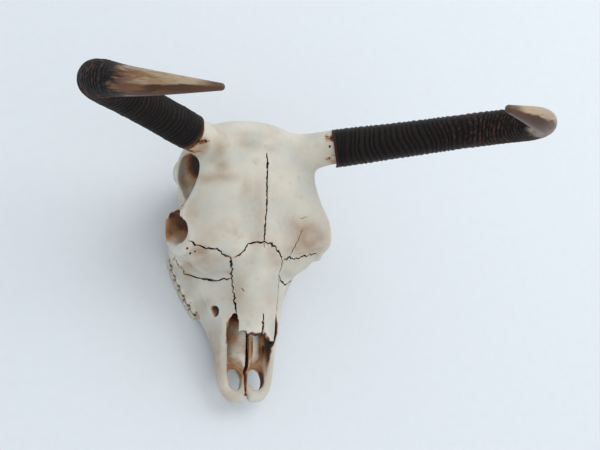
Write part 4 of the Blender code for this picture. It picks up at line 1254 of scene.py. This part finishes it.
def tooth(centre, along, length, width, lean):
    """One worn cheek tooth: two lobes on each side, a chewing face with a low rim below."""
    across = Vector((-along.y, along.x, 0.0))
    rings = []
    for z, shrink in TOOTH_PROFILE:
        ring = []
        for angle in round_angles(48):
            c, s = math.cos(angle), math.sin(angle)
            u, v = squared(c, TOOTH_SQUARENESS), squared(s, TOOTH_SQUARENESS)
            fold = TOOTH_FOLD * math.exp(-(u / 0.16) ** 2)
            corner = TOOTH_CORNER * math.exp(-((abs(u) - 1.0) / 0.2) ** 2)
            lobe = 1.0 - fold - corner
            point = centre + along * (u * length / 2 * shrink) + across * (v * width / 2 * shrink * lobe)
            point += Vector((0, 0, z)) + across * (lean * (z - TOOTH_HEIGHT / 2) * TOOTH_LEAN)
            ring.append(point)
        rings.append(ring)
    return loft("tooth", rings)


def tooth_row(label):
    """The cheek teeth of one side, as separate bodies of one piece."""
    side = SIDES[label]
    ends = []
    for i in range(TEETH_PER_SIDE + 1):
        ends.append(Vector(mirrored((*row_place(i / TEETH_PER_SIDE), 0), side)))
    rng = np.random.default_rng(SEEDS["teeth"] + side)
    teeth = []
    for back, front in zip(ends, ends[1:]):
        step = front - back
        size = rng.uniform(*TOOTH_SIZES)
        teeth.append(tooth(back + step / 2, step.normalized(), step.length - TOOTH_GAP,
                           TOOTH_WIDTH * size, side))
    row = join("teeth", teeth)
    write_attribute(row.data, "height", coordinates(row.data)[:, 2])
    return row


def ring_relief(distance, angle, pitch, rng):
    """Ridges round a horn at uneven steps, from 0 in the grooves to 1 on the crests."""
    last = distance.max() + 4 * pitch
    steps = rng.uniform(*RING_STEPS, int(last / pitch * 1.4)) * pitch
    marks = np.concatenate(([-2 * pitch], -2 * pitch + np.cumsum(steps)))
    sway = np.zeros_like(angle)
    for turns in (1, 2, 3):
        start, drift = rng.uniform(0, 2 * math.pi), rng.uniform(*RING_DRIFT)
        sway = sway + pitch * RING_SWAY / turns * np.sin(turns * angle + start + distance * drift)
    phase = np.interp(distance + sway, marks, np.arange(len(marks)))
    heights = rng.uniform(*RING_HEIGHTS, len(marks) + 2)
    tall = np.interp(phase, np.arange(len(heights)), heights)
    return tall * (1.0 - np.abs(np.cos(math.pi * phase)) ** 3)


def horn(label, settings):
    """One horn sheath with its growth rings, its lip over the core and its smooth tip."""
    rng = np.random.default_rng(SEEDS["horn " + label])
    fine_rows, tip_rows = HORN_ROWS
    shares = np.concatenate((np.linspace(0.0, HORN_FINE_TO, fine_rows),
                             np.linspace(HORN_FINE_TO, 1.0, tip_rows)[1:]))
    path = horn_path(label, shares)
    steps = np.linalg.norm(np.diff(path[:, :3], axis=0), axis=1)
    distance = np.concatenate(([0.0], np.cumsum(steps)))
    first, second = along_path(path)
    angles = round_angles(HORN_SIDES)
    angle, run = np.meshgrid(angles, distance)
    main = ring_relief(run, angle, settings.ring_pitch / CM, rng)
    fine = ring_relief(run, angle, settings.ring_pitch / CM * FINE_PITCH, rng)
    fade = np.clip((settings.smooth_from / CM - run) / HORN_RING_FADE, 0.0, 1.0) ** 0.8
    fade *= HORN_LOW_RINGS + (1.0 - HORN_LOW_RINGS) * np.clip(run / HORN_LOW_LENGTH, 0.0, 1.0)
    relief = (main * MAIN_RINGS + fine * FINE_RINGS) * fade
    swelling = np.sin(math.pi * np.clip((shares - HORN_FULL_FROM) / (1.0 - HORN_FULL_FROM), 0.0, 1.0))
    fullness = 1.0 + HORN_FULLNESS[label] * swelling
    radius = (path[:, 3] * fullness)[:, None] - HORN_UNDER_RINGS + relief * settings.ring_height / CM
    outward = (np.cos(angle)[..., None] * first[:, None] + np.sin(angle)[..., None] * second[:, None])
    rings = path[:, None, :3] + radius[..., None] * outward
    heading = np.cross(first[0], second[0])
    slant = HORN_SLANT[label] * (1.0 - outward[0][:, 1])[:, None] * heading
    rings += np.clip(1.0 - distance / HORN_LIP_FADE, 0.0, 1.0)[:, None, None] * slant
    edge = sum(height * np.sin(waves * angles + turn) for height, waves, turn in HORN_EDGE)
    start = path[0, :3]
    base = path[0, 3]
    lip = []
    for wider, back in HORN_LIP:
        away = (base + wider) * outward[0] - heading * (back + edge * (back > 0))[:, None]
        lip.append(start + away + slant)
    end = path[-1, :3]
    tip_heading = np.cross(first[-1], second[-1])
    blunt = []
    tip = path[-1, 3] - HORN_UNDER_RINGS
    for turn in HORN_BLUNT:
        blunt.append(end + tip * math.cos(turn) * outward[-1] + tip_heading * tip * math.sin(turn))
    rings = np.concatenate((lip, rings, blunt))
    thing = loft("horn", rings)
    before, after = (len(lip), HORN_SIDES), (len(blunt), HORN_SIDES)
    along = np.concatenate((np.full(before, HORN_LIP_ALONG), run, np.full(after, distance[-1])))
    bumps = np.concatenate((np.zeros(before), relief, np.zeros(after)))
    write_attribute(thing.data, "along", along.ravel())
    write_attribute(thing.data, "to_tip", distance[-1] - along.ravel())
    write_attribute(thing.data, "relief", bumps.ravel())
    wide = np.concatenate((np.repeat(path[0, 3], len(lip)), path[:, 3],
                           np.repeat(path[-1, 3], len(blunt))))[:, None]
    straight = np.stack((wide * np.cos(angles), wide * np.sin(angles), along), axis=-1)
    layer = thing.data.attributes.new("straight", "FLOAT_VECTOR", "POINT")
    layer.data.foreach_set("vector", straight.ravel().astype(np.float32))
    return thing


def add_node(tree, kind, inputs=None, **settings):
    """Add a shader node. Its inputs are values, or sockets to link."""
    made = tree.nodes.new(kind)
    for name, value in settings.items():
        setattr(made, name, value)
    for key, value in (inputs or {}).items():
        if isinstance(value, bpy.types.NodeSocket):
            tree.links.new(value, made.inputs[key])
        else:
            made.inputs[key].default_value = value
    return made


def maths(tree, operation, *values, clamp=False):
    """The result socket of a Math node."""
    made = add_node(tree, "ShaderNodeMath", dict(enumerate(values)), operation=operation)
    made.use_clamp = clamp
    return made.outputs[0]


def times(tree, first, second):
    """The result socket of a product."""
    return maths(tree, "MULTIPLY", first, second)


def added(tree, first, second, clamp=False):
    """The result socket of a sum."""
    return maths(tree, "ADD", first, second, clamp=clamp)


def opaque(color):
    """A colour with its alpha."""
    return (*color, 1.0)


def span(tree, value, low, high, to_low=0.0, to_high=1.0):
    """A value moved smoothly from one range to another."""
    made = add_node(tree, "ShaderNodeMapRange", {"Value": value, "From Min": low, "From Max": high,
                                                 "To Min": to_low, "To Max": to_high},
                    interpolation_type="SMOOTHSTEP")
    return made.outputs["Result"]


def mix(tree, factor, first, second):
    """The result of mixing two colours."""
    made = tree.nodes.new("ShaderNodeMix")
    made.data_type = "RGBA"
    for socket, value in ((made.inputs[0], factor), (made.inputs[6], first), (made.inputs[7], second)):
        if isinstance(value, bpy.types.NodeSocket):
            tree.links.new(value, socket)
        else:
            socket.default_value = value
    return made.outputs[2]


def noise(tree, vector, scale, detail=4.0, roughness=0.55):
    """The grey value of a noise texture."""
    made = add_node(tree, "ShaderNodeTexNoise", {"Vector": vector, "Scale": scale, "Detail": detail,
                                                 "Roughness": roughness})
    return made.outputs["Fac"]


def attribute(tree, name, output="Fac"):
    """A value stored on the mesh."""
    return add_node(tree, "ShaderNodeAttribute", attribute_name=name).outputs[output]


def new_group(name, inputs, outputs):
    """A shader node group with named sockets."""
    tree = bpy.data.node_groups.new(name, "ShaderNodeTree")
    for label, kind, default in inputs:
        socket = tree.interface.new_socket(label, in_out="INPUT", socket_type="NodeSocket" + kind)
        if default is not None:
            socket.default_value = default
    for label, kind in outputs:
        tree.interface.new_socket(label, in_out="OUTPUT", socket_type="NodeSocket" + kind)
    return tree, tree.nodes.new("NodeGroupInput"), tree.nodes.new("NodeGroupOutput")


def soaked_group():
    """Stain that has soaked into a surface, in three depths of brown."""
    tree, given, result = new_group("Soaked stain", (
        ("Vector", "Vector", None), ("Base", "Color", (0.6, 0.58, 0.5, 1)),
        ("Light", "Color", (0.45, 0.3, 0.16, 1)), ("Middle", "Color", (0.16, 0.06, 0.03, 1)),
        ("Deep", "Color", (0.03, 0.02, 0.015, 1)), ("Amount", "Float", 0.0)),
        (("Color", "Color"), ("Amount", "Float")))
    wanted = given.outputs["Amount"]
    broad = noise(tree, given.outputs["Vector"], 45.0, 5.0, 0.6)
    ragged = times(tree, maths(tree, "SUBTRACT", broad, 0.5), 0.9)
    within = times(tree, ragged, span(tree, wanted, 0.02, 0.3))
    within = times(tree, within, span(tree, wanted, 1.0, 0.5, 0.4, 1.0))
    amount = added(tree, wanted, within, clamp=True)
    color = mix(tree, span(tree, amount, 0.05, 0.45), given.outputs["Base"], given.outputs["Light"])
    color = mix(tree, span(tree, amount, 0.35, 0.75), color, given.outputs["Middle"])
    color = mix(tree, span(tree, amount, 0.65, 1.0), color, given.outputs["Deep"])
    tree.links.new(color, result.inputs["Color"])
    tree.links.new(amount, result.inputs["Amount"])


def grain_group():
    """Fine unevenness: soft lumps, small pores and hair cracks, as a height."""
    tree, given, result = new_group("Fine grain", (
        ("Vector", "Vector", None), ("Scale", "Float", 1.0), ("Pores", "Float", 0.5),
        ("Hair Cracks", "Float", 0.3)), (("Height", "Float"),))
    vector, scale = given.outputs["Vector"], given.outputs["Scale"]
    lumps = noise(tree, vector, times(tree, scale, 160.0), 6.0, 0.6)
    pores = add_node(tree, "ShaderNodeTexVoronoi",
                     {"Vector": vector, "Scale": times(tree, scale, 900.0)}).outputs["Distance"]
    here = span(tree, noise(tree, vector, times(tree, scale, 40.0)), 0.5, 0.65)
    pores = times(tree, span(tree, pores, 0.28, 0.05), here)
    pores = times(tree, pores, given.outputs["Pores"])
    bent = add_node(tree, "ShaderNodeMixRGB", {0: 0.02, 1: vector}, blend_type="ADD")
    wander = add_node(tree, "ShaderNodeTexNoise", {"Vector": vector, "Scale": 60.0})
    tree.links.new(wander.outputs["Color"], bent.inputs[2])
    cells = add_node(tree, "ShaderNodeTexVoronoi",
                     {"Vector": bent.outputs[0], "Scale": times(tree, scale, 70.0)},
                     feature="DISTANCE_TO_EDGE").outputs["Distance"]
    there = span(tree, noise(tree, vector, times(tree, scale, 18.0)), 0.52, 0.6)
    cracks = times(tree, span(tree, cells, 0.03, 0.0), there)
    cracks = times(tree, cracks, given.outputs["Hair Cracks"])
    height = maths(tree, "SUBTRACT", maths(tree, "SUBTRACT", lumps, pores), cracks)
    tree.links.new(height, result.inputs["Height"])


def object_spot(tree):
    """The place on the object, in metres."""
    return tree.nodes.new("ShaderNodeTexCoord").outputs["Object"]


def stretched(tree, vector, scale):
    """A vector scaled along each axis."""
    return add_node(tree, "ShaderNodeMapping", {"Vector": vector, "Scale": scale}).outputs["Vector"]


def soaked(tree, spot, base, amount, browns):
    """The outputs of stain in three browns over a base colour."""
    light, middle, deep = browns
    return add_node(tree, "ShaderNodeGroup",
                    {"Vector": spot, "Base": base, "Amount": amount, "Light": opaque(light),
                     "Middle": opaque(middle), "Deep": opaque(deep)},
                    node_tree=bpy.data.node_groups["Soaked stain"]).outputs


def grain(tree, vector, scale, pores, cracks):
    """The height of fine unevenness."""
    return add_node(tree, "ShaderNodeGroup",
                    {"Vector": vector, "Scale": scale, "Pores": pores, "Hair Cracks": cracks},
                    node_tree=bpy.data.node_groups["Fine grain"]).outputs["Height"]


def new_material(name):
    """A material with its tree and its Principled shader."""
    material = bpy.data.materials.new(name)
    material.use_nodes = True
    tree = material.node_tree
    return material, tree, tree.nodes["Principled BSDF"]


def bump(tree, shader, height, distance, strength=1.0):
    """Let a height roughen a shader's surface."""
    made = add_node(tree, "ShaderNodeBump", {"Height": height, "Distance": distance,
                                             "Strength": strength})
    tree.links.new(made.outputs["Normal"], shader.inputs["Normal"])


def bone_material(settings):
    """Weathered bone: ivory, warm blotches, brown in the hollows and black in the sutures."""
    material, tree, shader = new_material("weathered bone")
    spot = object_spot(tree)
    pale, warm = opaque(settings.pale), opaque(settings.warm)
    drift = noise(tree, spot, 17.0, 3.0, 0.55)
    patch = noise(tree, spot, 38.0, 4.0, 0.6)
    color = mix(tree, span(tree, drift, 0.35, 0.7, 0.0, 0.45), pale, warm)
    color = mix(tree, span(tree, patch, 0.52, 0.72, 0.0, 0.6), color, warm)
    ragged = times(tree, maths(tree, "SUBTRACT", noise(tree, spot, 55.0, 3.0), 0.5), 0.9)
    patches = attribute(tree, "patch")
    patches = added(tree, times(tree, patches, 1.2), times(tree, ragged, patches), clamp=True)
    color = mix(tree, patches, color, opaque(settings.blotch))
    cool = times(tree, span(tree, noise(tree, spot, 24.0, 2.0), 0.42, 0.66), 0.6)
    color = mix(tree, cool, color, opaque(settings.cool))
    closed = span(tree, attribute(tree, "open"), 0.62, 0.12)
    dip = span(tree, attribute(tree, "hollow"), -0.02, -0.14)
    edge = span(tree, attribute(tree, "hollow"), 0.03, 0.12)
    color = mix(tree, times(tree, edge, 0.35), color, opaque(settings.worn))
    # painted shade: the bone turns darker and greyer where little of the room is open to the surface
    color = mix(tree, times(tree, closed, 0.48), color, opaque(settings.hollow_shade))
    # besides the stain, a little brown where the surface is closed in, which is painted shade as well
    amount = maths(tree, "MAXIMUM", attribute(tree, "stain"), times(tree, closed, 0.10))
    amount = added(tree, amount, times(tree, dip, 0.18))
    seam = span(tree, noise(tree, spot, 70.0, 3.0), 0.40, 0.62)
    seam = times(tree, times(tree, attribute(tree, "seam"), seam), 0.24)
    amount = added(tree, amount, seam)
    smudge = span(tree, attribute(tree, "streak"), 0.0, 0.55)
    drawn = stretched(tree, spot, (0.07, 1.0, 0.7))
    lines = span(tree, noise(tree, drawn, 210.0, 4.0, 0.6), 0.47, 0.66)
    streaks = times(tree, smudge, added(tree, times(tree, lines, 0.70), 0.22))
    rim = times(tree, span(tree, attribute(tree, "lip"), 0.90, 0.99), 0.50)
    amount = added(tree, amount, maths(tree, "MAXIMUM", streaks, rim), clamp=True)
    stained = soaked(tree, spot, color, amount, (settings.tan, settings.brown, settings.black))
    final = mix(tree, attribute(tree, "crack"), stained["Color"], opaque(settings.black))
    tree.links.new(final, shader.inputs["Base Color"])
    rough = span(tree, stained["Amount"], 0.1, 0.8, 0.52, 0.75)
    tree.links.new(rough, shader.inputs["Roughness"])
    bump(tree, shader, grain(tree, spot, 1.0, 0.5, 0.35), 0.0006)
    return material


def tooth_material(settings):
    """Worn enamel, with brown at the gum and at the chewing face."""
    material, tree, shader = new_material("tooth enamel")
    spot = object_spot(tree)
    height = attribute(tree, "height")
    streaks = stretched(tree, spot, (1.0, 1.0, 0.25))
    lines = noise(tree, streaks, 260.0, 3.0)
    color = mix(tree, span(tree, lines, 0.4, 0.7, 0.0, 0.7), opaque(settings.enamel),
                opaque(settings.cement))
    amount = maths(tree, "MAXIMUM", span(tree, height, 1.1, 1.9, 0.0, 0.8),
                   span(tree, height, 0.12, 0.0, 0.0, 0.6))
    stained = soaked(tree, spot, color, amount, (settings.cement, settings.gum_brown, TOOTH_BLACK))
    tree.links.new(stained["Color"], shader.inputs["Base Color"])
    rough = span(tree, stained["Amount"], 0.1, 0.8, 0.30, 0.65)
    tree.links.new(rough, shader.inputs["Roughness"])
    bump(tree, shader, grain(tree, streaks, 2.0, 0.2, 0.6), 0.0004)
    return material


def horn_material(settings):
    """Dark ringed horn that turns to streaked cream and brown towards the tip."""
    material, tree, shader = new_material("horn")
    along = attribute(tree, "along")
    to_tip = attribute(tree, "to_tip")
    relief = attribute(tree, "relief")
    straight = attribute(tree, "straight", "Vector")
    facing = tree.nodes.new("ShaderNodeSeparateXYZ")
    tree.links.new(tree.nodes.new("ShaderNodeNewGeometry").outputs["Normal"], facing.inputs[0])
    streaked = stretched(tree, straight, (1.0, 1.0, 0.14))
    streaks = noise(tree, streaked, 1.6, 6.0, 0.65)
    ringed = stretched(tree, straight, (0.25, 0.25, 1.0))
    bands = noise(tree, ringed, 9.0, 5.0, 0.6)
    dark = mix(tree, span(tree, relief, 0.15, 0.9), opaque(settings.groove), opaque(settings.dark))
    flecks = times(tree, span(tree, noise(tree, straight, 2.0, 5.0, 0.7), 0.50, 0.62),
                   span(tree, along, 14.0, 26.0, 0.1, 1.0))
    flecks = times(tree, flecks, span(tree, relief, 0.2, 0.6))
    dark = mix(tree, times(tree, flecks, 0.75), dark, opaque(settings.fleck))
    dark = mix(tree, span(tree, bands, 0.55, 0.75, 0.0, 0.35), dark, opaque(settings.dust))
    dark = mix(tree, span(tree, along, 0.22, -0.1, 0.0, 0.85), dark, opaque(settings.lip))
    # painted light and shade over the tip's own cream and brown: cream goes on the side facing +y, towards
    # the light, brown on the side facing -y
    back = added(tree, facing.outputs["Y"], times(tree, streaks, 0.9))
    light = mix(tree, span(tree, back, -0.10, 0.12), opaque(settings.tip_brown), opaque(settings.cream))
    golden = times(tree, span(tree, noise(tree, streaked, 1.3, 4.0, 0.6), 0.40, 0.58),
                   span(tree, along, 47.0, 39.0, 0.0, 0.9))
    light = mix(tree, golden, light, opaque(settings.gold))
    blotch = noise(tree, streaked, 0.9, 5.0, 0.7)
    blotch = times(tree, span(tree, blotch, 0.46, 0.56), span(tree, along, 43.0, 37.0))
    veins = noise(tree, streaked, 4.5, 5.0, 0.7)
    light = mix(tree, span(tree, veins, 0.5, 0.68, 0.0, 0.45), light, opaque(settings.tip_brown))
    # painted shade: the tip end colour also darkens the underside near the tip, the side facing -y
    under = span(tree, added(tree, facing.outputs["Y"], times(tree, streaks, 0.5)), 0.0, -0.4)
    under = times(tree, under, span(tree, to_tip, 8.0, 1.5, 0.0, 0.85))
    light = mix(tree, under, light, opaque(settings.tip_end))
    light = mix(tree, blotch, light, opaque(settings.fleck))
    light = mix(tree, span(tree, to_tip, 3.4, 0.5, 0.0, 0.9), light, opaque(settings.tip_end))
    wander = times(tree, maths(tree, "SUBTRACT", streaks, 0.5), 9.0)
    share = span(tree, added(tree, along, wander), settings.smooth_from / CM - 1.6,
                 settings.smooth_from / CM + 1.2)
    tree.links.new(mix(tree, share, dark, light), shader.inputs["Base Color"])
    tree.links.new(span(tree, share, 0.0, 1.0, 0.46, 0.36), shader.inputs["Roughness"])
    tree.links.new(span(tree, share, 0.0, 1.0, 0.14, 0.20), shader.inputs["Specular IOR Level"])
    fine = grain(tree, streaked, 0.03, 0.1, 0.4)
    height = added(tree, times(tree, bands, span(tree, share, 1.0, 0.0, 0.1, 1.0)),
                   times(tree, fine, 0.4))
    bump(tree, shader, height, 0.0012)
    return material


def floor_material(settings):
    """Plain pale floor with a barely visible grain."""
    material, tree, shader = new_material("pale floor")
    spot = object_spot(tree)
    speckle = noise(tree, spot, 60.0, 4.0)
    shade = tuple(c * 0.985 for c in settings.floor)
    color = mix(tree, span(tree, speckle, 0.35, 0.7), opaque(settings.floor), opaque(shade))
    tree.links.new(color, shader.inputs["Base Color"])
    shader.inputs["Roughness"].default_value = 0.9
    shader.inputs["Specular IOR Level"].default_value = 0.1
    bump(tree, shader, speckle, 0.0004, 0.5)
    return material


def metres(name, description, default):
    """A size that a user may change."""
    return bpy.props.FloatProperty(name=name, description=description, default=default,
                                   unit="LENGTH", precision=5, min=0.0)


def number(name, description, default):
    """A plain number that a user may change."""
    return bpy.props.FloatProperty(name=name, description=description, default=default, min=0.0)


def tint(name, description, default):
    """A colour that a user may change."""
    return bpy.props.FloatVectorProperty(name=name, description=description, default=default,
                                         size=3, subtype="COLOR", min=0.0, max=1.0)


class SkullBoneSettings(bpy.types.PropertyGroup):
    """Sizes and colours of the bones."""
    grid: metres("Surface grid", "Mean edge of the faces of the bones", 0.0015)
    softness: bpy.props.IntProperty(name="Softness", description="Smoothing rounds of the surface",
                                    default=4, min=0)
    wave_length: metres("Wave length", "Size of the gentle swellings of the bone", 0.035)
    wave_height: metres("Wave height", "Height of the gentle swellings of the bone", 0.0007)
    suture_width: number("Suture width", "Width of the open sutures against their usual width", 1.0)
    suture_depth: metres("Suture depth", "How deep the open sutures are", 0.0045)
    pale: tint("Ivory", "Clean bone", (0.645, 0.62, 0.53))
    warm: tint("Warm patches", "Patches of older, warmer bone", (0.48, 0.395, 0.30))
    blotch: tint("Blotches", "Soft tan blotches", (0.38, 0.28, 0.19))
    cool: tint("Cool patches", "Bleached, greyer bone", (0.525, 0.535, 0.485))
    worn: tint("Worn edges", "Rubbed ridges and rims", (0.72, 0.70, 0.63))
    # painted shade, mixed in where little of the room is open to the bone
    hollow_shade: tint("Hollow shade", "Painted shade in sheltered places", (0.17, 0.15, 0.12))
    tan: tint("Light stain", "Edge of a stain", (0.41, 0.21, 0.09))
    brown: tint("Stain", "Body of a stain", (0.13, 0.045, 0.02))
    black: tint("Deep stain", "Sutures and deep hollows", (0.022, 0.014, 0.012))


class SkullToothSettings(bpy.types.PropertyGroup):
    """Colours of the cheek teeth."""
    enamel: tint("Enamel", "Clean enamel", (0.60, 0.56, 0.46))
    cement: tint("Cement", "Yellowed root cement", (0.38, 0.28, 0.16))
    gum_brown: tint("Gum line", "Stain at the gum line", (0.09, 0.045, 0.02))


class SkullHornSettings(bpy.types.PropertyGroup):
    """Sizes and colours of the horns."""
    ring_pitch: metres("Ring pitch", "Mean step of the growth rings", 0.0080)
    ring_height: metres("Ring height", "Height of the growth rings", 0.0020)
    smooth_from: metres("Smooth from", "Length of the ringed part", 0.372)
    dark: tint("Crests", "Crests of the rings", (0.015, 0.010, 0.009))
    groove: tint("Grooves", "Grooves between the rings", (0.003, 0.0025, 0.0025))
    dust: tint("Bloom", "Grey bloom on the dark horn", (0.024, 0.019, 0.018))
    fleck: tint("Flecks", "Red-brown flecks and blotches", (0.135, 0.060, 0.040))
    lip: tint("Lip", "Thin brown edge over the bone", (0.050, 0.016, 0.010))
    # cream and tip brown are the tip's own tones, set on its upper and lower side as painted light and
    # shade; tip end also paints shade under the tip
    cream: tint("Cream", "Pale side of the tip", (0.44, 0.33, 0.225))
    tip_brown: tint("Tip brown", "Brown side of the tip", (0.065, 0.028, 0.012))
    gold: tint("Gold", "Golden streaks where the pale tip begins", (0.25, 0.125, 0.042))
    tip_end: tint("Tip end", "Dark end of the tip", (0.10, 0.05, 0.03))


class SkullStageSettings(bpy.types.PropertyGroup):
    """Floor, light and camera."""
    floor: tint("Floor", "Colour of the floor", (0.74, 0.785, 0.825))
    key_power: bpy.props.FloatProperty(name="Key power", description="Power of the soft main light",
                                       default=43.0, min=0.0, unit="POWER")
    front_power: bpy.props.FloatProperty(name="Front power", description="Power of the front light",
                                         default=14.0, min=0.0, unit="POWER")
    key_size: metres("Light size", "Side of the square lights", 2.7)
    fill: number("Fill", "Brightness of the room all round", 0.79)
    lens: bpy.props.FloatProperty(name="Lens", description="Focal length of the camera, in mm",
                                  default=69.18, min=10.0)
    camera_at: bpy.props.FloatVectorProperty(name="Camera", description="Place of the camera",
                                             default=(-0.6827, -0.6124, 1.693), size=3,
                                             subtype="TRANSLATION", unit="LENGTH")
    camera_aim: bpy.props.FloatVectorProperty(name="Aim", description="Point that the camera faces",
                                              default=(0.0873, 0.0666, 0.120), size=3,
                                              subtype="TRANSLATION", unit="LENGTH")
    camera_roll: bpy.props.FloatProperty(name="Roll", description="Turn of the camera on its axis",
                                         default=math.radians(46.4), subtype="ANGLE")


def shared_groups():
    """Build the effects that several materials use, once."""
    if "Soaked stain" not in bpy.data.node_groups:
        soaked_group()
        grain_group()


class SKULL_OT_bones(bpy.types.Operator):
    """Carve the skull and part it into its bones"""
    bl_idname = "skull.bones"
    bl_label = "Bones"

    def execute(self, context):
        settings = context.scene.skull_bones
        shared_groups()
        material = bone_material(settings)
        skull = carve_skull(settings)
        weather = Weather(skull)
        lines = suture_lines()
        cutter = suture_cutter(skull, lines, settings)
        cutter_tree = BVHTree.FromObject(cutter, context.evaluated_depsgraph_get())
        boolean(skull, cutter, "DIFFERENCE")
        drop(cutter)
        for node, piece in part_skull(skull, lines).items():
            weathered(piece, weather, cutter_tree)
            set_piece(piece, "bone_" + node, node, material)
        return {"FINISHED"}


class SKULL_OT_teeth(bpy.types.Operator):
    """Set the cheek teeth into the upper jaws"""
    bl_idname = "skull.teeth"
    bl_label = "Cheek teeth"

    def execute(self, context):
        shared_groups()
        material = tooth_material(context.scene.skull_teeth)
        for label in SIDES:
            set_piece(tooth_row(label), "teeth_" + label, None, material)
        return {"FINISHED"}


class SKULL_OT_horns(bpy.types.Operator):
    """Grow the two ringed horns"""
    bl_idname = "skull.horns"
    bl_label = "Horns"

    def execute(self, context):
        settings = context.scene.skull_horns
        shared_groups()
        material = horn_material(settings)
        for label in SIDES:
            set_piece(horn(label, settings), "sheath_" + label, "horn_" + label, material)
        return {"FINISHED"}


class SKULL_OT_stage(bpy.types.Operator):
    """Lay the floor and set the light and the camera"""
    bl_idname = "skull.stage"
    bl_label = "Stage"

    def execute(self, context):
        settings = context.scene.skull_stage
        scene = context.scene
        bm = bmesh.new()
        bmesh.ops.create_grid(bm, x_segments=8, y_segments=8, size=FLOOR_REACH)
        floor = add_object("floor", mesh_from_bmesh("floor", bm))
        if floor.data.polygons[0].normal.z < 0.0:
            floor.data.flip_normals()
        floor.data.materials.append(floor_material(settings))
        for name, power in (("key", settings.key_power), ("front", settings.front_power)):
            self.add_lamp(scene, name, LAMPS[name], power, settings.key_size)
        room = bpy.data.worlds.new("room")
        room.use_nodes = True
        background = room.node_tree.nodes["Background"]
        background.inputs["Color"].default_value = opaque(ROOM_COLOR)
        background.inputs["Strength"].default_value = settings.fill
        scene.world = room
        scene.view_settings.view_transform = "Standard"
        self.add_camera(scene, settings)
        return {"FINISHED"}

    def add_lamp(self, scene, name, place, power, size):
        """Hang one square soft light, turned to the skull."""
        light = bpy.data.lights.new(name, "AREA")
        light.size = size
        light.energy = power
        light.color = LAMP_COLOR
        lamp = bpy.data.objects.new(name, light)
        scene.collection.objects.link(lamp)
        lamp.location = place
        lamp.rotation_euler = (lamp.location - Vector(LAMP_AIM)).to_track_quat("Z", "Y").to_euler()

    def add_camera(self, scene, settings):
        """Set the camera to look down on the skull from in front of its left side."""
        data = bpy.data.cameras.new("camera")
        data.lens = settings.lens
        data.sensor_width = 36.0
        data.clip_end = 30.0
        camera = bpy.data.objects.new("camera", data)
        scene.collection.objects.link(camera)
        place, aim = Vector(settings.camera_at), Vector(settings.camera_aim)
        facing = (aim - place).to_track_quat("-Z", "Y").to_matrix().to_4x4()
        camera.matrix_world = (Matrix.Translation(place) @ facing
                               @ Matrix.Rotation(settings.camera_roll, 4, "Z"))
        scene.camera = camera


class SKULL_PT_panel(bpy.types.Panel):
    """The steps of the cow skull in the sidebar"""
    bl_idname = "SKULL_PT_panel"
    bl_label = "Cow skull"
    bl_space_type = "VIEW_3D"
    bl_region_type = "UI"
    bl_category = "Cow skull"

    def draw(self, context):
        for name, _, operator in STEPS:
            box = self.layout.box()
            box.operator(operator.bl_idname)
            settings = getattr(context.scene, name)
            for key in settings.bl_rna.properties.keys():
                if key not in ("rna_type", "name"):
                    box.prop(settings, key)


# Each step by the name of its settings: the settings and the operator.
STEPS = (
    ("skull_bones", SkullBoneSettings, SKULL_OT_bones),
    ("skull_teeth", SkullToothSettings, SKULL_OT_teeth),
    ("skull_horns", SkullHornSettings, SKULL_OT_horns),
    ("skull_stage", SkullStageSettings, SKULL_OT_stage),
)
CLASSES = (*(group for _, group, _ in STEPS), *(operator for _, _, operator in STEPS), SKULL_PT_panel)


def register():
    """Add the settings, the steps and the panel."""
    for each in CLASSES:
        bpy.utils.register_class(each)
    for name, group, _ in STEPS:
        setattr(bpy.types.Scene, name, bpy.props.PointerProperty(type=group))


def unregister():
    """Remove what register added."""
    for name, _, _ in STEPS:
        delattr(bpy.types.Scene, name)
    for each in reversed(CLASSES):
        bpy.utils.unregister_class(each)


def main():
    """Register the steps, then build the skull, its teeth and horns, and set the stage."""
    register()
    bpy.ops.skull.bones()
    bpy.ops.skull.teeth()
    bpy.ops.skull.horns()
    bpy.ops.skull.stage()
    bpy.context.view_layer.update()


if __name__ == "__main__":
    main()
